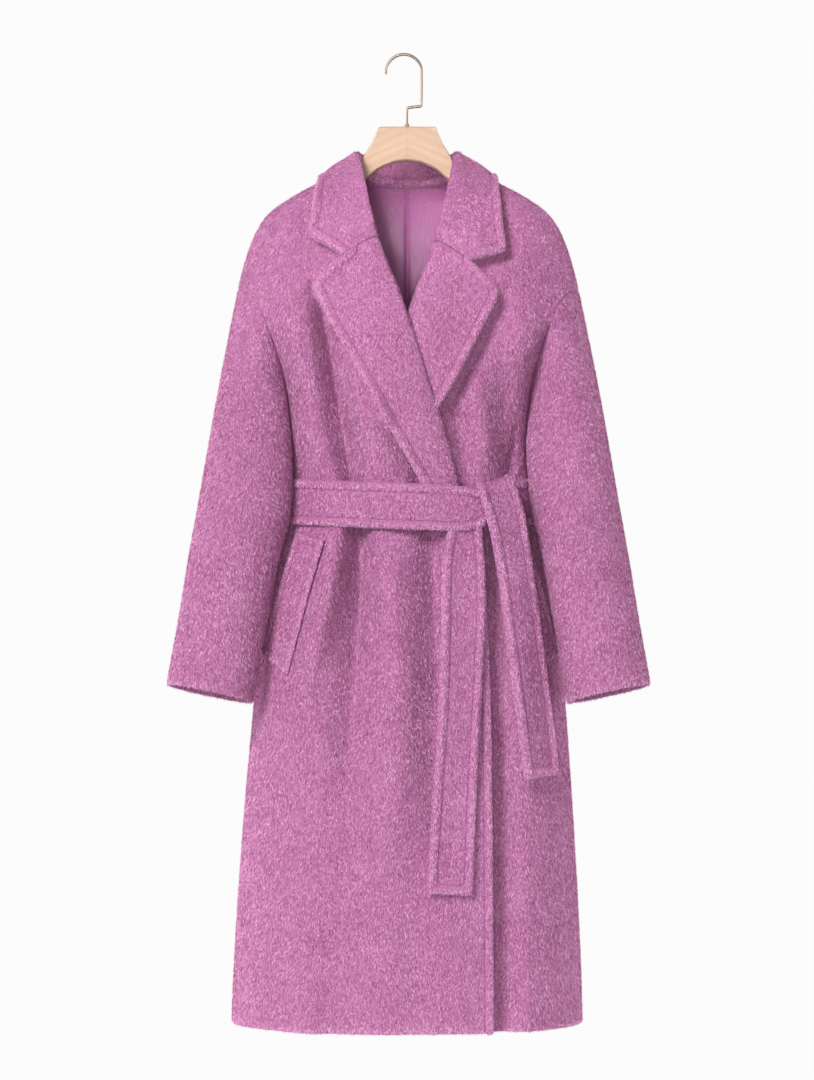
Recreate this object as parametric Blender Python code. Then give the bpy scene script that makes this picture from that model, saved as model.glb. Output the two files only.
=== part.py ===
"""Wool wrap coat, belted, hanging on a wooden hanger. Blender 4.5, metres, +Z up.

The origin is the point under the crown of the hanger's hook where a rail carries it.
+X is the wearer's left, -Y is the front. Heights are negative, measured down from the rail.
Left and right in the names are the wearer's.

Every panel is a wall of cloth: a grid of points on its outer face, and the same grid moved
in along the surface by the cloth's thickness. What lies on a panel is made from the
panel's own surface, moved out by a named lift.
"""

import math
from collections import namedtuple

import bmesh
import bpy
from mathutils import Vector

# ---------------------------------------------------------------- driving sizes, metres
CLOTH = 0.003           # one layer of brushed wool with its backing
DOUBLED = 0.005         # collar, lapels and belt: two layers turned out
LINING = 0.001
SEAM_GAP = 0.0003       # between pieces that are sewn edge to edge
LAYER_GAP = 0.0008      # between cloth that lies on cloth
ROUNDNESS = 2.3         # exponent of the body's sections: 2 is an ellipse, more is squarer

HEM = -1.253
NECK_POINT = -0.1439    # where shoulder seam meets collar
BACK_NECK = -0.1615
ARMHOLE_TOP = -0.302
ARMPIT = -0.462

BELT_WIDTH = 0.057
WIRE = 0.0021           # radius of the hook's wire

# ---------------------------------------------------------------- tables of sections
# The body's outline and depth, one row for each height. middle is how far the section's
# centre stands from the hook's stem. Between the armhole's top and the armpit, half_width is
# where the armhole seam runs and whole_width the sleeve's outer line.
BodyRow = namedtuple("BodyRow", "height middle half_width whole_width front_depth back_depth")
BODY = (
    BodyRow(-0.1439, 0.0010, 0.0754, 0.0754, 0.034, 0.046),
    BodyRow(-0.1582, 0.0015, 0.1014, 0.1014, 0.044, 0.058),
    BodyRow(-0.1686, 0.0018, 0.1235, 0.1235, 0.051, 0.064),
    BodyRow(-0.1790, 0.0018, 0.1430, 0.1430, 0.057, 0.067),
    BodyRow(-0.1894, 0.0018, 0.1610, 0.1610, 0.062, 0.070),
    BodyRow(-0.1998, 0.0018, 0.1760, 0.1760, 0.066, 0.072),
    BodyRow(-0.2102, 0.0018, 0.1866, 0.1866, 0.070, 0.074),
    BodyRow(-0.2206, 0.0015, 0.1944, 0.1944, 0.073, 0.076),
    BodyRow(-0.2414, 0.0015, 0.2028, 0.2028, 0.079, 0.079),
    BodyRow(-0.2622, 0.0015, 0.2106, 0.2106, 0.084, 0.081),
    BodyRow(-0.2830, 0.0015, 0.2160, 0.2160, 0.088, 0.083),
    BodyRow(-0.3020, 0.0015, 0.2205, 0.2205, 0.092, 0.084),
    BodyRow(-0.3094, 0.0015, 0.2069, 0.2222, 0.093, 0.084),
    BodyRow(-0.3222, 0.0015, 0.1937, 0.2248, 0.095, 0.085),
    BodyRow(-0.3599, 0.0015, 0.1780, 0.2310, 0.099, 0.086),
    BodyRow(-0.3932, 0.0015, 0.1662, 0.2370, 0.101, 0.086),
    BodyRow(-0.4234, 0.0015, 0.1600, 0.2430, 0.102, 0.085),
    BodyRow(-0.4493, 0.0018, 0.1575, 0.2480, 0.102, 0.084),
    BodyRow(-0.4620, 0.0020, 0.1565, 0.1565, 0.102, 0.083),
    BodyRow(-0.5200, 0.0032, 0.1555, 0.1555, 0.100, 0.079),
    BodyRow(-0.5800, 0.0055, 0.1565, 0.1565, 0.098, 0.077),
    BodyRow(-0.6100, 0.0058, 0.1635, 0.1635, 0.100, 0.080),
    BodyRow(-0.6350, 0.0050, 0.1715, 0.1715, 0.103, 0.085),
    BodyRow(-0.6640, 0.0045, 0.1790, 0.1790, 0.107, 0.090),
    BodyRow(-0.7070, 0.0045, 0.1875, 0.1875, 0.112, 0.096),
    BodyRow(-0.7590, 0.0042, 0.1950, 0.1950, 0.116, 0.101),
    BodyRow(-0.8320, 0.0035, 0.2010, 0.2010, 0.120, 0.106),
    BodyRow(-0.9670, 0.0020, 0.2120, 0.2120, 0.124, 0.111),
    BodyRow(-1.0710, 0.0012, 0.2190, 0.2190, 0.126, 0.113),
    BodyRow(-1.1750, 0.0005, 0.2249, 0.2249, 0.127, 0.114),
    BodyRow(-1.2530, 0.0000, 0.2275, 0.2275, 0.127, 0.114),
)

# Heights of the body panels' rows of points, hem to neck. The sleeves' seams take theirs
# from the rows between armpit and armhole top.
ROW_HEIGHTS = (
    -1.253, -1.190, -1.110, -1.030, -0.950, -0.880, -0.815, -0.755, -0.705, -0.665,
    -0.635, -0.612, -0.584, -0.555, -0.530, -0.500, -0.480, -0.462, -0.438, -0.412,
    -0.385, -0.360, -0.340, -0.325, -0.3145, -0.3075, -0.3035, -0.302, -0.278, -0.254,
    -0.230, -0.210, -0.194, -0.178, -0.162, -0.1439,
)

# The roll line of each front, where the cloth turns over into the lapel, and below it the
# plain front edge. toward is how far past the coat's middle the line stands, to the
# wearer's left for the right front and to the wearer's right for the left front.
EdgeRow = namedtuple("EdgeRow", "height toward")
FRONT_EDGE = (
    EdgeRow(-0.1439, -0.0635),
    EdgeRow(-0.1675, -0.0580),
    EdgeRow(-0.1900, -0.0512),
    EdgeRow(-0.2200, -0.0430),
    EdgeRow(-0.2419, -0.0362),
    EdgeRow(-0.2724, -0.0255),
    EdgeRow(-0.3087, -0.0112),
    EdgeRow(-0.3441, 0.0010),
    EdgeRow(-0.3956, 0.0165),
    EdgeRow(-0.4585, 0.0369),
    EdgeRow(-0.5065, 0.0515),
    EdgeRow(-0.5576, 0.0640),
    EdgeRow(-0.6174, 0.0805),
    EdgeRow(-0.6542, 0.0915),
    EdgeRow(-0.7050, 0.0990),
    EdgeRow(-0.8400, 0.1050),
    EdgeRow(-1.2530, 0.1085),
)
ROLL_WRAP = 0.0058      # how far the roll stands past the panel's edge, round which it wraps

# The largest folds: a soft ridge or trough that runs from top to bottom, and is full
# between the two middle heights. across is the x where it starts and where it ends.
Fold = namedtuple(
    "Fold",
    "name side across_top across_bottom top full_top full_bottom bottom half_width rise",
)
FOLDS = (
    Fold("right_chest_trough", "front", -0.113, -0.080, -0.33, -0.46, -0.530, -0.556, 0.016, -0.0085),
    Fold("right_chest_ridge", "front", -0.134, -0.112, -0.33, -0.46, -0.525, -0.556, 0.015, 0.0040),
    Fold("right_chest_inner_ridge", "front", -0.070, -0.050, -0.38, -0.48, -0.530, -0.556, 0.018, 0.0035),
    Fold("left_chest_trough", "front", 0.122, 0.128, -0.40, -0.50, -0.532, -0.556, 0.012, -0.0060),
    Fold("left_chest_ridge", "front", 0.095, 0.104, -0.38, -0.50, -0.530, -0.556, 0.014, 0.0040),
    Fold("right_hip_trough", "front", -0.071, -0.086, -0.612, -0.640, -0.700, -0.960, 0.021, -0.0095),
    Fold("right_hip_ridge", "front", -0.094, -0.152, -0.612, -0.645, -0.740, -0.860, 0.016, 0.0080),
    Fold("right_skirt_ridge", "front", -0.030, -0.024, -0.612, -0.680, -0.820, -1.100, 0.030, 0.0045),
    Fold("right_skirt_trough", "front", 0.020, 0.030, -0.612, -0.660, -0.800, -1.080, 0.022, -0.0050),
    Fold("left_hip_ridge", "front", 0.100, 0.140, -0.612, -0.645, -0.740, -0.900, 0.016, 0.0050),
    Fold("back_left_trough", "back", 0.060, 0.066, -0.36, -0.48, -0.530, -0.556, 0.018, -0.0070),
    Fold("back_right_trough", "back", -0.072, -0.064, -0.34, -0.47, -0.530, -0.556, 0.018, -0.0075),
    Fold("back_left_hip_trough", "back", 0.070, 0.090, -0.612, -0.645, -0.720, -0.980, 0.022, -0.0080),
    Fold("back_middle_trough", "back", -0.006, -0.004, -0.612, -0.645, -0.740, -1.050, 0.024, -0.0070),
    Fold("back_right_hip_trough", "back", -0.078, -0.098, -0.612, -0.645, -0.710, -0.940, 0.021, -0.0085),
)

# Lapels, one row for each line from the roll to the free edge, bottom to notch.
LapelRow = namedtuple("LapelRow", "roll_height edge_x edge_height")
RIGHT_LAPEL = (
    LapelRow(-0.6120, 0.0480, -0.6120),
    LapelRow(-0.5850, 0.0350, -0.5850),
    LapelRow(-0.5576, 0.0203, -0.5576),
    LapelRow(-0.5320, 0.0061, -0.5320),
    LapelRow(-0.5065, -0.0081, -0.5065),
    LapelRow(-0.4766, -0.0247, -0.4766),
    LapelRow(-0.4466, -0.0413, -0.4466),
    LapelRow(-0.4224, -0.0548, -0.4224),
    LapelRow(-0.3982, -0.0683, -0.3982),
    LapelRow(-0.3790, -0.0815, -0.3765),
    LapelRow(-0.3600, -0.0945, -0.3542),
    LapelRow(-0.3425, -0.1023, -0.3385),
    LapelRow(-0.3250, -0.1096, -0.3230),
    LapelRow(-0.2990, -0.1188, -0.3072),
    LapelRow(-0.2850, -0.1172, -0.3008),
    LapelRow(-0.2700, -0.1010, -0.2845),
    LapelRow(-0.2425, -0.0815, -0.2650),
)
LEFT_LAPEL = (
    LapelRow(-0.4640, 0.0340, -0.4680),
    LapelRow(-0.4350, 0.0500, -0.4410),
    LapelRow(-0.4120, 0.0612, -0.4220),
    LapelRow(-0.3760, 0.0820, -0.3829),
    LapelRow(-0.3500, 0.0943, -0.3569),
    LapelRow(-0.3220, 0.1083, -0.3320),
    LapelRow(-0.2990, 0.1150, -0.3162),
    LapelRow(-0.2870, 0.1135, -0.3085),
    LapelRow(-0.2740, 0.0995, -0.2928),
    LapelRow(-0.2480, 0.0809, -0.2741),
)
LAPEL_LIFT = 0.0014     # between a lapel's free edge and the front it lies on
LAPEL_SPRING = 0.0040   # how much further its middle stands off

# A lapel's section where it wraps round the front panel's edge: how far past that edge,
# and how far out from the panel's outer face, for the lapel's seen face and for its own back.
WrapRow = namedtuple("WrapRow", "seen_past seen_out back_past back_out")
WRAP = (
    WrapRow(0.0058, -0.0036, 0.0008, -0.0036),
    WrapRow(0.0058, 0.0006, 0.0008, 0.0000),
    WrapRow(0.0046, 0.0042, 0.0004, 0.0006),
    WrapRow(0.0018, 0.0058, -0.0012, 0.0008),
)

# The collar, one row for each section from the middle of the back round to the notch.
# sewn_on and sewn_at say where its stand meets the coat: a share of the back's neck edge,
# or a height on the front's edge. crest is the roll on top, edge is the fall's free edge.
CollarRow = namedtuple(
    "CollarRow", "sewn_on sewn_at crest_x crest_y crest_height edge_on edge_x edge_height"
)
COLLAR = (
    CollarRow("back", 0.00, 0.0000, 0.0655, -0.1250, "back", 0.0000, -0.2000),
    CollarRow("back", 0.36, 0.0335, 0.0600, -0.1248, "back", 0.0500, -0.1975),
    CollarRow("back", 0.66, 0.0565, 0.0405, -0.1238, "back", 0.0900, -0.1880),
    CollarRow("back", 0.90, 0.0655, 0.0180, -0.1235, "back", 0.1085, -0.1725),
    CollarRow("back", 1.00, 0.0660, 0.0000, -0.1235, "shoulder", 0.1120, -0.1635),
    CollarRow("front", -0.1439, 0.0640, -0.0190, -0.1285, "front", 0.1150, -0.1770),
    CollarRow("front", -0.1620, 0.0588, -0.0400, -0.1430, "front", 0.1175, -0.1960),
    CollarRow("front", -0.1830, 0.0535, -0.0600, -0.1680, "front", 0.1205, -0.2180),
    CollarRow("front", -0.2040, 0.0480, -0.0765, -0.1960, "front", 0.1235, -0.2370),
    CollarRow("front", -0.2230, 0.0425, -0.0860, -0.2180, "front", 0.1015, -0.2515),
)
COLLAR_LIFT = 0.0016    # between the fall's edge and the coat
COLLAR_SWELL = 0.0028   # how far the fall's middle stands off a straight line
# The left collar's point hangs a little lower than the right one.
LEFT_COLLAR_DROP = ((6, 0.0030), (7, 0.0120), (8, 0.0210), (9, 0.0135))

# A sleeve, one row for each ring below the armpit. outer and inner are its two side
# points, middle_y and half_depth its place and size from front to back, and back_drop is
# how far the ring's back hangs below its middle.
SleeveRow = namedtuple(
    "SleeveRow", "outer_x outer_height inner_x inner_height middle_y half_depth back_drop"
)
SLEEVE = (
    SleeveRow(0.2437, -0.4220, 0.1530, -0.4900, -0.018, 0.058, 0.000),
    SleeveRow(0.2563, -0.4990, 0.1520, -0.5380, -0.040, 0.057, 0.001),
    SleeveRow(0.2688, -0.5770, 0.1585, -0.6030, -0.056, 0.055, 0.002),
    SleeveRow(0.2824, -0.6550, 0.1725, -0.6770, -0.065, 0.051, 0.003),
    SleeveRow(0.2945, -0.7324, 0.1862, -0.7544, -0.070, 0.048, 0.005),
    SleeveRow(0.3097, -0.8138, 0.1995, -0.8371, -0.072, 0.045, 0.006),
)

# Pocket welt: its four corners on the front, as distances from the section's middle.
Corner = namedtuple("Corner", "across height")
POCKET_TOP_SIDE = Corner(0.1457, -0.6192)
POCKET_TOP_FRONT = Corner(0.1081, -0.6313)
POCKET_LOW_FRONT = Corner(0.1546, -0.8000)
POCKET_LOW_SIDE = Corner(0.1897, -0.7733)
POCKET_THICKNESS = 0.0035

# The belt's band, one row for each stretch from its covered end on the left front, round
# the back, to its fold at the knot. turn is the angle round the body from the wearer's
# left, lift is how far its inner face stands off the body.
BandRow = namedtuple("BandRow", "turn middle_height lift")
BAND = (
    BandRow(-58, -0.5830, 0.0016),
    BandRow(-40, -0.5810, 0.0016),
    BandRow(0, -0.5780, 0.0014),
    BandRow(90, -0.5760, 0.0014),
    BandRow(180, -0.5780, 0.0014),
    BandRow(215, -0.5800, 0.0022),
    BandRow(230, -0.5812, 0.0044),
    BandRow(245, -0.5828, 0.0062),
    BandRow(262, -0.5847, 0.0098),
    BandRow(278, -0.5872, 0.0170),
    BandRow(288, -0.5892, 0.0200),
    BandRow(301, -0.5918, 0.0200),
)

# The belt's ends, one row for each place along them: x, height, how far the middle of the
# cloth stands off the body, its width, and how much more it faces front than the body does.
TailRow = namedtuple("TailRow", "across height lift width frontward")
LONG_TAIL = (
    TailRow(0.0745, -0.5950, 0.0154, 0.040, 0.0),
    TailRow(0.0740, -0.6120, 0.0154, 0.041, 0.0),
    TailRow(0.0730, -0.6300, 0.0158, 0.046, 0.0),
    TailRow(0.0720, -0.6600, 0.0165, 0.053, 0.0),
    TailRow(0.0718, -0.7100, 0.0150, 0.055, 0.0),
    TailRow(0.0700, -0.7700, 0.0125, 0.054, 0.0),
    TailRow(0.0670, -0.8400, 0.0110, 0.052, 0.0),
    TailRow(0.0615, -0.9300, 0.0100, 0.053, 0.0),
    TailRow(0.0570, -1.0150, 0.0095, 0.055, 0.0),
    TailRow(0.0545, -1.0740, 0.0095, 0.056, 0.0),
)
SHORT_TAIL = (
    TailRow(0.1170, -0.5760, 0.0128, 0.046, 0.05),
    TailRow(0.1145, -0.5650, 0.0130, 0.046, 0.08),
    TailRow(0.1126, -0.5570, 0.0152, 0.046, 0.12),
    TailRow(0.1120, -0.5545, 0.0205, 0.047, 0.16),
    TailRow(0.1128, -0.5570, 0.0262, 0.048, 0.18),
    TailRow(0.1150, -0.5650, 0.0290, 0.049, 0.20),
    TailRow(0.1205, -0.5810, 0.0294, 0.050, 0.18),
    TailRow(0.1275, -0.6060, 0.0290, 0.050, 0.12),
    TailRow(0.1338, -0.6400, 0.0225, 0.049, 0.0),
    TailRow(0.1405, -0.6850, 0.0155, 0.049, 0.0),
    TailRow(0.1478, -0.7400, 0.0120, 0.050, 0.0),
    TailRow(0.1560, -0.8000, 0.0105, 0.051, 0.0),
    TailRow(0.1640, -0.8600, 0.0100, 0.052, 0.0),
    TailRow(0.1715, -0.9280, 0.0100, 0.053, 0.0),
)
TAIL_SLANT = 0.22       # how far the fold over the band rises towards the wearer's left

# The wooden hanger, one row for each section from its middle to an arm's end. The top of
# an arm past ARM_STARTS follows the coat's shoulder from inside.
HangerRow = namedtuple("HangerRow", "across top bottom half_thickness")
ARM_STARTS = 0.100
HANGER = (
    HangerRow(0.0000, -0.0919, -0.1356, 0.0070),
    HangerRow(0.0180, -0.0919, -0.1382, 0.0070),
    HangerRow(0.0340, -0.0919, -0.1450, 0.0070),
    HangerRow(0.0375, -0.0932, -0.1472, 0.0070),
    HangerRow(0.0405, -0.1010, -0.1494, 0.0070),
    HangerRow(0.0463, -0.1137, -0.1545, 0.0071),
    HangerRow(0.0533, -0.1250, -0.1603, 0.0072),
    HangerRow(0.0585, -0.1343, -0.1645, 0.0073),
    HangerRow(0.0610, -0.1550, -0.1665, 0.0074),
    HangerRow(0.0720, -0.1578, -0.1745, 0.0078),
    HangerRow(0.0860, -0.1605, -0.1835, 0.0086),
    HangerRow(0.1000, -0.1642, -0.1925, 0.0098),
    HangerRow(0.1180, -0.1710, -0.2020, 0.0120),
    HangerRow(0.1350, -0.1790, -0.2105, 0.0145),
    HangerRow(0.1520, -0.1890, -0.2190, 0.0158),
    HangerRow(0.1670, -0.2020, -0.2275, 0.0158),
    HangerRow(0.1780, -0.2140, -0.2320, 0.0150),
    HangerRow(0.1835, -0.2210, -0.2330, 0.0125),
    HangerRow(0.1858, -0.2240, -0.2300, 0.0080),
)
HANGER_EASED = 0.3      # how much of a section's lesser half the eased edges take
ARM_EASED = 0.35        # how much more of it they take on the rounded arms
HOOK_RADIUS = 0.0232    # of the wire's middle line over the crown
HOOK_OFFSET = -0.0044   # the crown's centre stands this far from the stem
HOOK_STEM_TOP = -0.0665
HOOK_BACK_X = 0.0191    # the upright stretch of the wire
FERRULE_HEIGHT = 0.0036
FERRULE_RADIUS = 0.0034


# ---------------------------------------------------------------- numbers and curves
def clamp(value, low=0.0, high=1.0):
    return max(low, min(high, value))


def ramp(value, start, end):
    """0 at start and before, 1 at end and after, smooth between. start may be the larger."""
    share = clamp((value - start) / (end - start))
    return share * share * (3 - 2 * share)


def smooth_lookup(rows, key, column, at):
    """A smooth curve through one column of a table, read at a value of its key column."""
    ordered = sorted(rows, key=lambda row: getattr(row, key))
    keys = [getattr(row, key) for row in ordered]
    values = [getattr(row, column) for row in ordered]
    at = clamp(at, keys[0], keys[-1])
    last = max(i for i in range(len(keys) - 1) if keys[i] <= at)
    span = keys[last + 1] - keys[last]
    slopes = []
    for i in (last, last + 1):
        before, after = max(i - 1, 0), min(i + 1, len(keys) - 1)
        left = (values[i] - values[before]) / (keys[i] - keys[before]) if i > before else None
        right = (values[after] - values[i]) / (keys[after] - keys[i]) if after > i else None
        if left is None or right is None:
            slopes.append(left if right is None else right)
        elif left * right <= 0:
            slopes.append(0.0)
        else:  # the harmonic mean never overshoots the table's values
            slopes.append(2 * left * right / (left + right))
    share = (at - keys[last]) / span
    square, cube = share**2, share**3
    return (
        values[last] * (2 * cube - 3 * square + 1)
        + slopes[0] * span * (cube - 2 * square + share)
        + values[last + 1] * (3 * square - 2 * cube)
        + slopes[1] * span * (cube - square)
    )


def spline(points, place):
    """A Catmull-Rom curve through points, with place from 0 at the first to 1 at the last."""
    along = clamp(place) * (len(points) - 1)
    i = min(int(along), len(points) - 2)
    share = along - i
    a, b = points[i], points[i + 1]
    before = points[i - 1] if i > 0 else a * 2 - b
    after = points[i + 2] if i + 2 < len(points) else b * 2 - a
    start, end = (b - before) / 2, (after - a) / 2
    square, cube = share**2, share**3
    return (
        a * (2 * cube - 3 * square + 1)
        + start * (cube - 2 * square + share)
        + b * (3 * square - 2 * cube)
        + end * (cube - square)
    )


def polyline(points, place):
    """A point on the straight lines through points, with place from 0 to 1."""
    along = clamp(place) * (len(points) - 1)
    i = min(int(along), len(points) - 2)
    return points[i] + (points[i + 1] - points[i]) * (along - i)


# ---------------------------------------------------------------- the body's surface
def body_column(column, height):
    return smooth_lookup(BODY, "height", column, height)


def section_depth(share):
    """A section's depth as a share of its greatest, at a share of its half width."""
    return (1 - clamp(abs(share)) ** ROUNDNESS) ** (1 / ROUNDNESS)


def body_share(x, height):
    """Where x lies in the section at a height: -1 at the right side, 1 at the left."""
    return clamp((x - body_column("middle", height)) / body_column("half_width", height), -1, 1)


def fold_rise(side, x, height):
    """How far the folds lift the cloth at a place, less than 0 in a trough."""
    rise = 0.0
    for fold in FOLDS:
        if fold.side != side or not fold.bottom < height < fold.top:
            continue
        share = (fold.top - height) / (fold.top - fold.bottom)
        middle = fold.across_top + (fold.across_bottom - fold.across_top) * share
        strength = ramp(height, fold.top, fold.full_top) * ramp(
            height, fold.bottom, fold.full_bottom
        )
        rise += fold.rise * strength * math.exp(-(((x - middle) / fold.half_width) ** 2))
    return rise


def body_depth(side, share, height):
    """How far the front or the back stands off the plane of the side seams."""
    depth = body_column("front_depth" if side == "front" else "back_depth", height)
    half_width = body_column("half_width", height)
    own = section_depth(share)
    if ARMPIT < height < ARMHOLE_TOP:
        # above, the body runs on into the sleeve; at the armpit it closes on itself
        whole = section_depth(share * half_width / body_column("whole_width", height))
        own = whole + (own - whole) * ramp(height, -0.335, ARMPIT)
    x = body_column("middle", height) + share * half_width
    return depth * own + fold_rise(side, x, height) * (1 - ramp(abs(share), 0.80, 1.0))


def body_point(side, share, height):
    """A point on the body's outer face. share runs from -1 at the wearer's right seam to 1."""
    x = body_column("middle", height) + share * body_column("half_width", height)
    sign = -1 if side == "front" else 1
    return Vector((x, sign * (body_depth(side, share, height) + SEAM_GAP / 2), height))


def body_normal(side, share, height):
    """The direction that the body's outer face looks in."""
    low, high = max(share - 0.004, -1), min(share + 0.004, 1)
    under, over = max(height - 0.002, HEM), min(height + 0.002, NECK_POINT)
    across = body_point(side, high, height) - body_point(side, low, height)
    up = body_point(side, share, over) - body_point(side, share, under)
    normal = across.cross(up)
    if side == "back":
        normal.negate()
    if abs(share) > 0.9999 and not ARMPIT < height < ARMHOLE_TOP:
        normal.y = 0
    return normal.normalized()


def on_body(side, x, height, lift):
    """The point at x and height, moved out from the body's outer face by lift."""
    share = body_share(x, height)
    return body_point(side, share, height) + body_normal(side, share, height) * lift


def edge_toward(height):
    return smooth_lookup(FRONT_EDGE, "height", "toward", height)


def panel_edge_x(which, height):
    """Where a front panel's inner edge lies, inside the lapel that wraps round it."""
    toward = edge_toward(height) - ROLL_WRAP * ramp(height, -0.640, -0.613)
    return toward if which == "right" else -toward


def right_front_lift(x, height):
    """The right front lies over the left front, and over the left lapel's lower end."""
    under_edge = -edge_toward(height)
    near = ramp(x, under_edge - 0.060, under_edge - 0.006)
    over_panel = near * ramp(height, -0.27, -0.345)
    over_lapel = near * ramp(height, -0.27, -0.345) * ramp(height, -0.545, -0.472)
    return (CLOTH + 2 * LAYER_GAP) * over_panel + (DOUBLED + 2 * LAYER_GAP) * over_lapel


def left_front_lift(x, height):
    """The left front is pressed in a little where the right front lies over it."""
    cover = edge_toward(height)
    return -0.002 * ramp(x, cover - 0.015, cover - 0.045) * ramp(height, -0.36, -0.42)


def front_lift(which, x, height):
    return right_front_lift(x, height) if which == "right" else left_front_lift(x, height)


def smooth_front_point(x, height, lift):
    """A point off the front with its folds left out, and the way the front looks there."""
    depth = body_column("front_depth", height)
    foot_x = x
    for _ in range(4):  # the foot on the coat stands aside of x where the front turns
        share = body_share(foot_x, height)
        slope = section_depth(share + 0.02) - section_depth(share - 0.02)
        slope *= depth / 0.04 / body_column("half_width", height)
        way = Vector((-slope, -1, 0)).normalized()
        foot_x = x - way.x * lift
    return Vector((foot_x, -depth * section_depth(share), height)) + way * lift, way


# ---------------------------------------------------------------- making solids
def material(name, colour, roughness, metallic=0.0):
    made = bpy.data.materials.new(name)
    made.use_nodes = True
    shader = made.node_tree.nodes["Principled BSDF"]
    shader.inputs["Base Color"].default_value = (*colour, 1)
    shader.inputs["Roughness"].default_value = roughness
    shader.inputs["Metallic"].default_value = metallic
    return made


def add_object(name, mesh_builder, finish):
    mesh = bpy.data.meshes.new(name)
    bmesh.ops.recalc_face_normals(mesh_builder, faces=mesh_builder.faces)
    mesh_builder.to_mesh(mesh)
    mesh_builder.free()
    mesh.materials.append(finish)
    mesh.shade_smooth()
    mesh.set_sharp_from_angle(angle=math.radians(40))
    made = bpy.data.objects.new(name, mesh)
    bpy.context.scene.collection.objects.link(made)
    return made


def cloth_wall(name, outer, inner, finish, round_it=False):
    """A closed wall between two grids of points. round_it joins each row's ends."""
    bm = bmesh.new()
    front, back = (
        [[bm.verts.new(point) for point in row] for row in grid] for grid in (outer, inner)
    )
    rows, columns = len(front), len(front[0])
    steps = columns if round_it else columns - 1
    for i in range(rows - 1):
        for j in range(steps):
            k = (j + 1) % columns
            bm.faces.new((front[i][j], front[i][k], front[i + 1][k], front[i + 1][j]))
            bm.faces.new((back[i][j], back[i + 1][j], back[i + 1][k], back[i][k]))
    for i in (0, rows - 1):
        for j in range(steps):
            k = (j + 1) % columns
            bm.faces.new((front[i][j], front[i][k], back[i][k], back[i][j]))
    if not round_it:
        for j in (0, columns - 1):
            for i in range(rows - 1):
                bm.faces.new((front[i][j], front[i + 1][j], back[i + 1][j], back[i][j]))
    return add_object(name, bm, finish)


def grid_normals(grid, round_it=False):
    """The direction that each point of a grid looks in, from its neighbours."""
    rows, columns = len(grid), len(grid[0])
    normals = []
    for i in range(rows):
        line = []
        for j in range(columns):
            if round_it:
                left, right = grid[i][j - 1], grid[i][(j + 1) % columns]
            else:
                left, right = grid[i][max(j - 1, 0)], grid[i][min(j + 1, columns - 1)]
            up = grid[min(i + 1, rows - 1)][j] - grid[max(i - 1, 0)][j]
            line.append((right - left).cross(up).normalized())
        normals.append(line)
    return normals


def moved(grid, normals, distance):
    return [
        [point + normal * distance for point, normal in zip(row, ways)]
        for row, ways in zip(grid, normals)
    ]


def share_walk():
    """Pairs of a share of the half width and the distance walked to it round a section.

    The walk counts more where the folds are and where the side turns, so that points lie
    closer together there.
    """
    walk, last = [(0.0, 0.0)], (0.0, 0.6)
    for i in range(1, 241):
        share = math.sin(math.pi / 2 * i / 240)
        here = (share, 0.6 * section_depth(share))
        length = math.hypot(here[0] - last[0], here[1] - last[1])
        crowding = 1 + 0.6 * math.exp(-(((share - 0.58) / 0.24) ** 2)) + ramp(share, 0.88, 1.0)
        walk.append((share, walk[-1][1] + length * crowding))
        last = here
    return walk


WALK = share_walk()


def read_walk(value, source, wanted):
    """Changes a share into a distance walked, or back."""
    size = abs(value)
    for before, after in zip(WALK, WALK[1:]):
        if size <= after[source]:
            part = (size - before[source]) / (after[source] - before[source])
            found = before[wanted] + (after[wanted] - before[wanted]) * part
            return math.copysign(found, value)
    return math.copysign(WALK[-1][wanted], value)


def column_shares(first, last, count, height):
    """Shares for a row's points, from first to last, spaced evenly as the section is walked.

    Where the armhole seam cuts in they are drawn together only next to it, so that the
    columns of points run down the panel without a jump.
    """
    stretch = 1.0
    if ARMPIT < height < ARMHOLE_TOP:
        down = (ARMHOLE_TOP - height) / (ARMHOLE_TOP - ARMPIT)
        top, low = (body_column("half_width", at) for at in (ARMHOLE_TOP, ARMPIT))
        stretch = (top + (low - top) * down) / body_column("half_width", height)
    start = read_walk(first / stretch if abs(first) < 1 else first, 0, 1)
    end = read_walk(last, 0, 1)
    shares = [read_walk(start + (end - start) * j / count, 1, 0) for j in range(count + 1)]
    shares = [stretch * share - (stretch - 1) * share * abs(share) ** 4 for share in shares]
    shares[0], shares[-1] = first, last
    return shares


# ---------------------------------------------------------------- the pieces
def build_front(which, columns, finish):
    """A front panel, from its inner edge to its side, armhole and shoulder seams."""
    side_share = -1 if which == "right" else 1
    outer, inner = [], []
    for height in ROW_HEIGHTS:
        edge_share = body_share(panel_edge_x(which, height), height)
        front_row, back_row = [], []
        for share in column_shares(edge_share, side_share, columns, height):
            point, way = body_point("front", share, height), body_normal("front", share, height)
            lift = front_lift(which, point.x, height)
            front_row.append(point + way * lift)
            back_row.append(point + way * (lift - CLOTH))
        outer.append(front_row)
        inner.append(back_row)
    return cloth_wall(f"front_{which}", outer, inner, finish)


def back_neck_height(share):
    return BACK_NECK + (NECK_POINT - BACK_NECK) * abs(share) ** 1.6


def build_back(columns, finish):
    """The back panel in one piece. Its top row is the back of the neck."""
    outer, inner = [], []
    for row_height in ROW_HEIGHTS:
        raised = (row_height - HEM) / (NECK_POINT - HEM)
        front_row, back_row = [], []
        for share in column_shares(-1, 1, columns, row_height):
            height = HEM + raised * (back_neck_height(share) - HEM)
            point, way = body_point("back", share, height), body_normal("back", share, height)
            front_row.append(point)
            back_row.append(point - way * CLOTH)
        outer.append(front_row)
        inner.append(back_row)
    return cloth_wall("back", outer, inner, finish)


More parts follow.
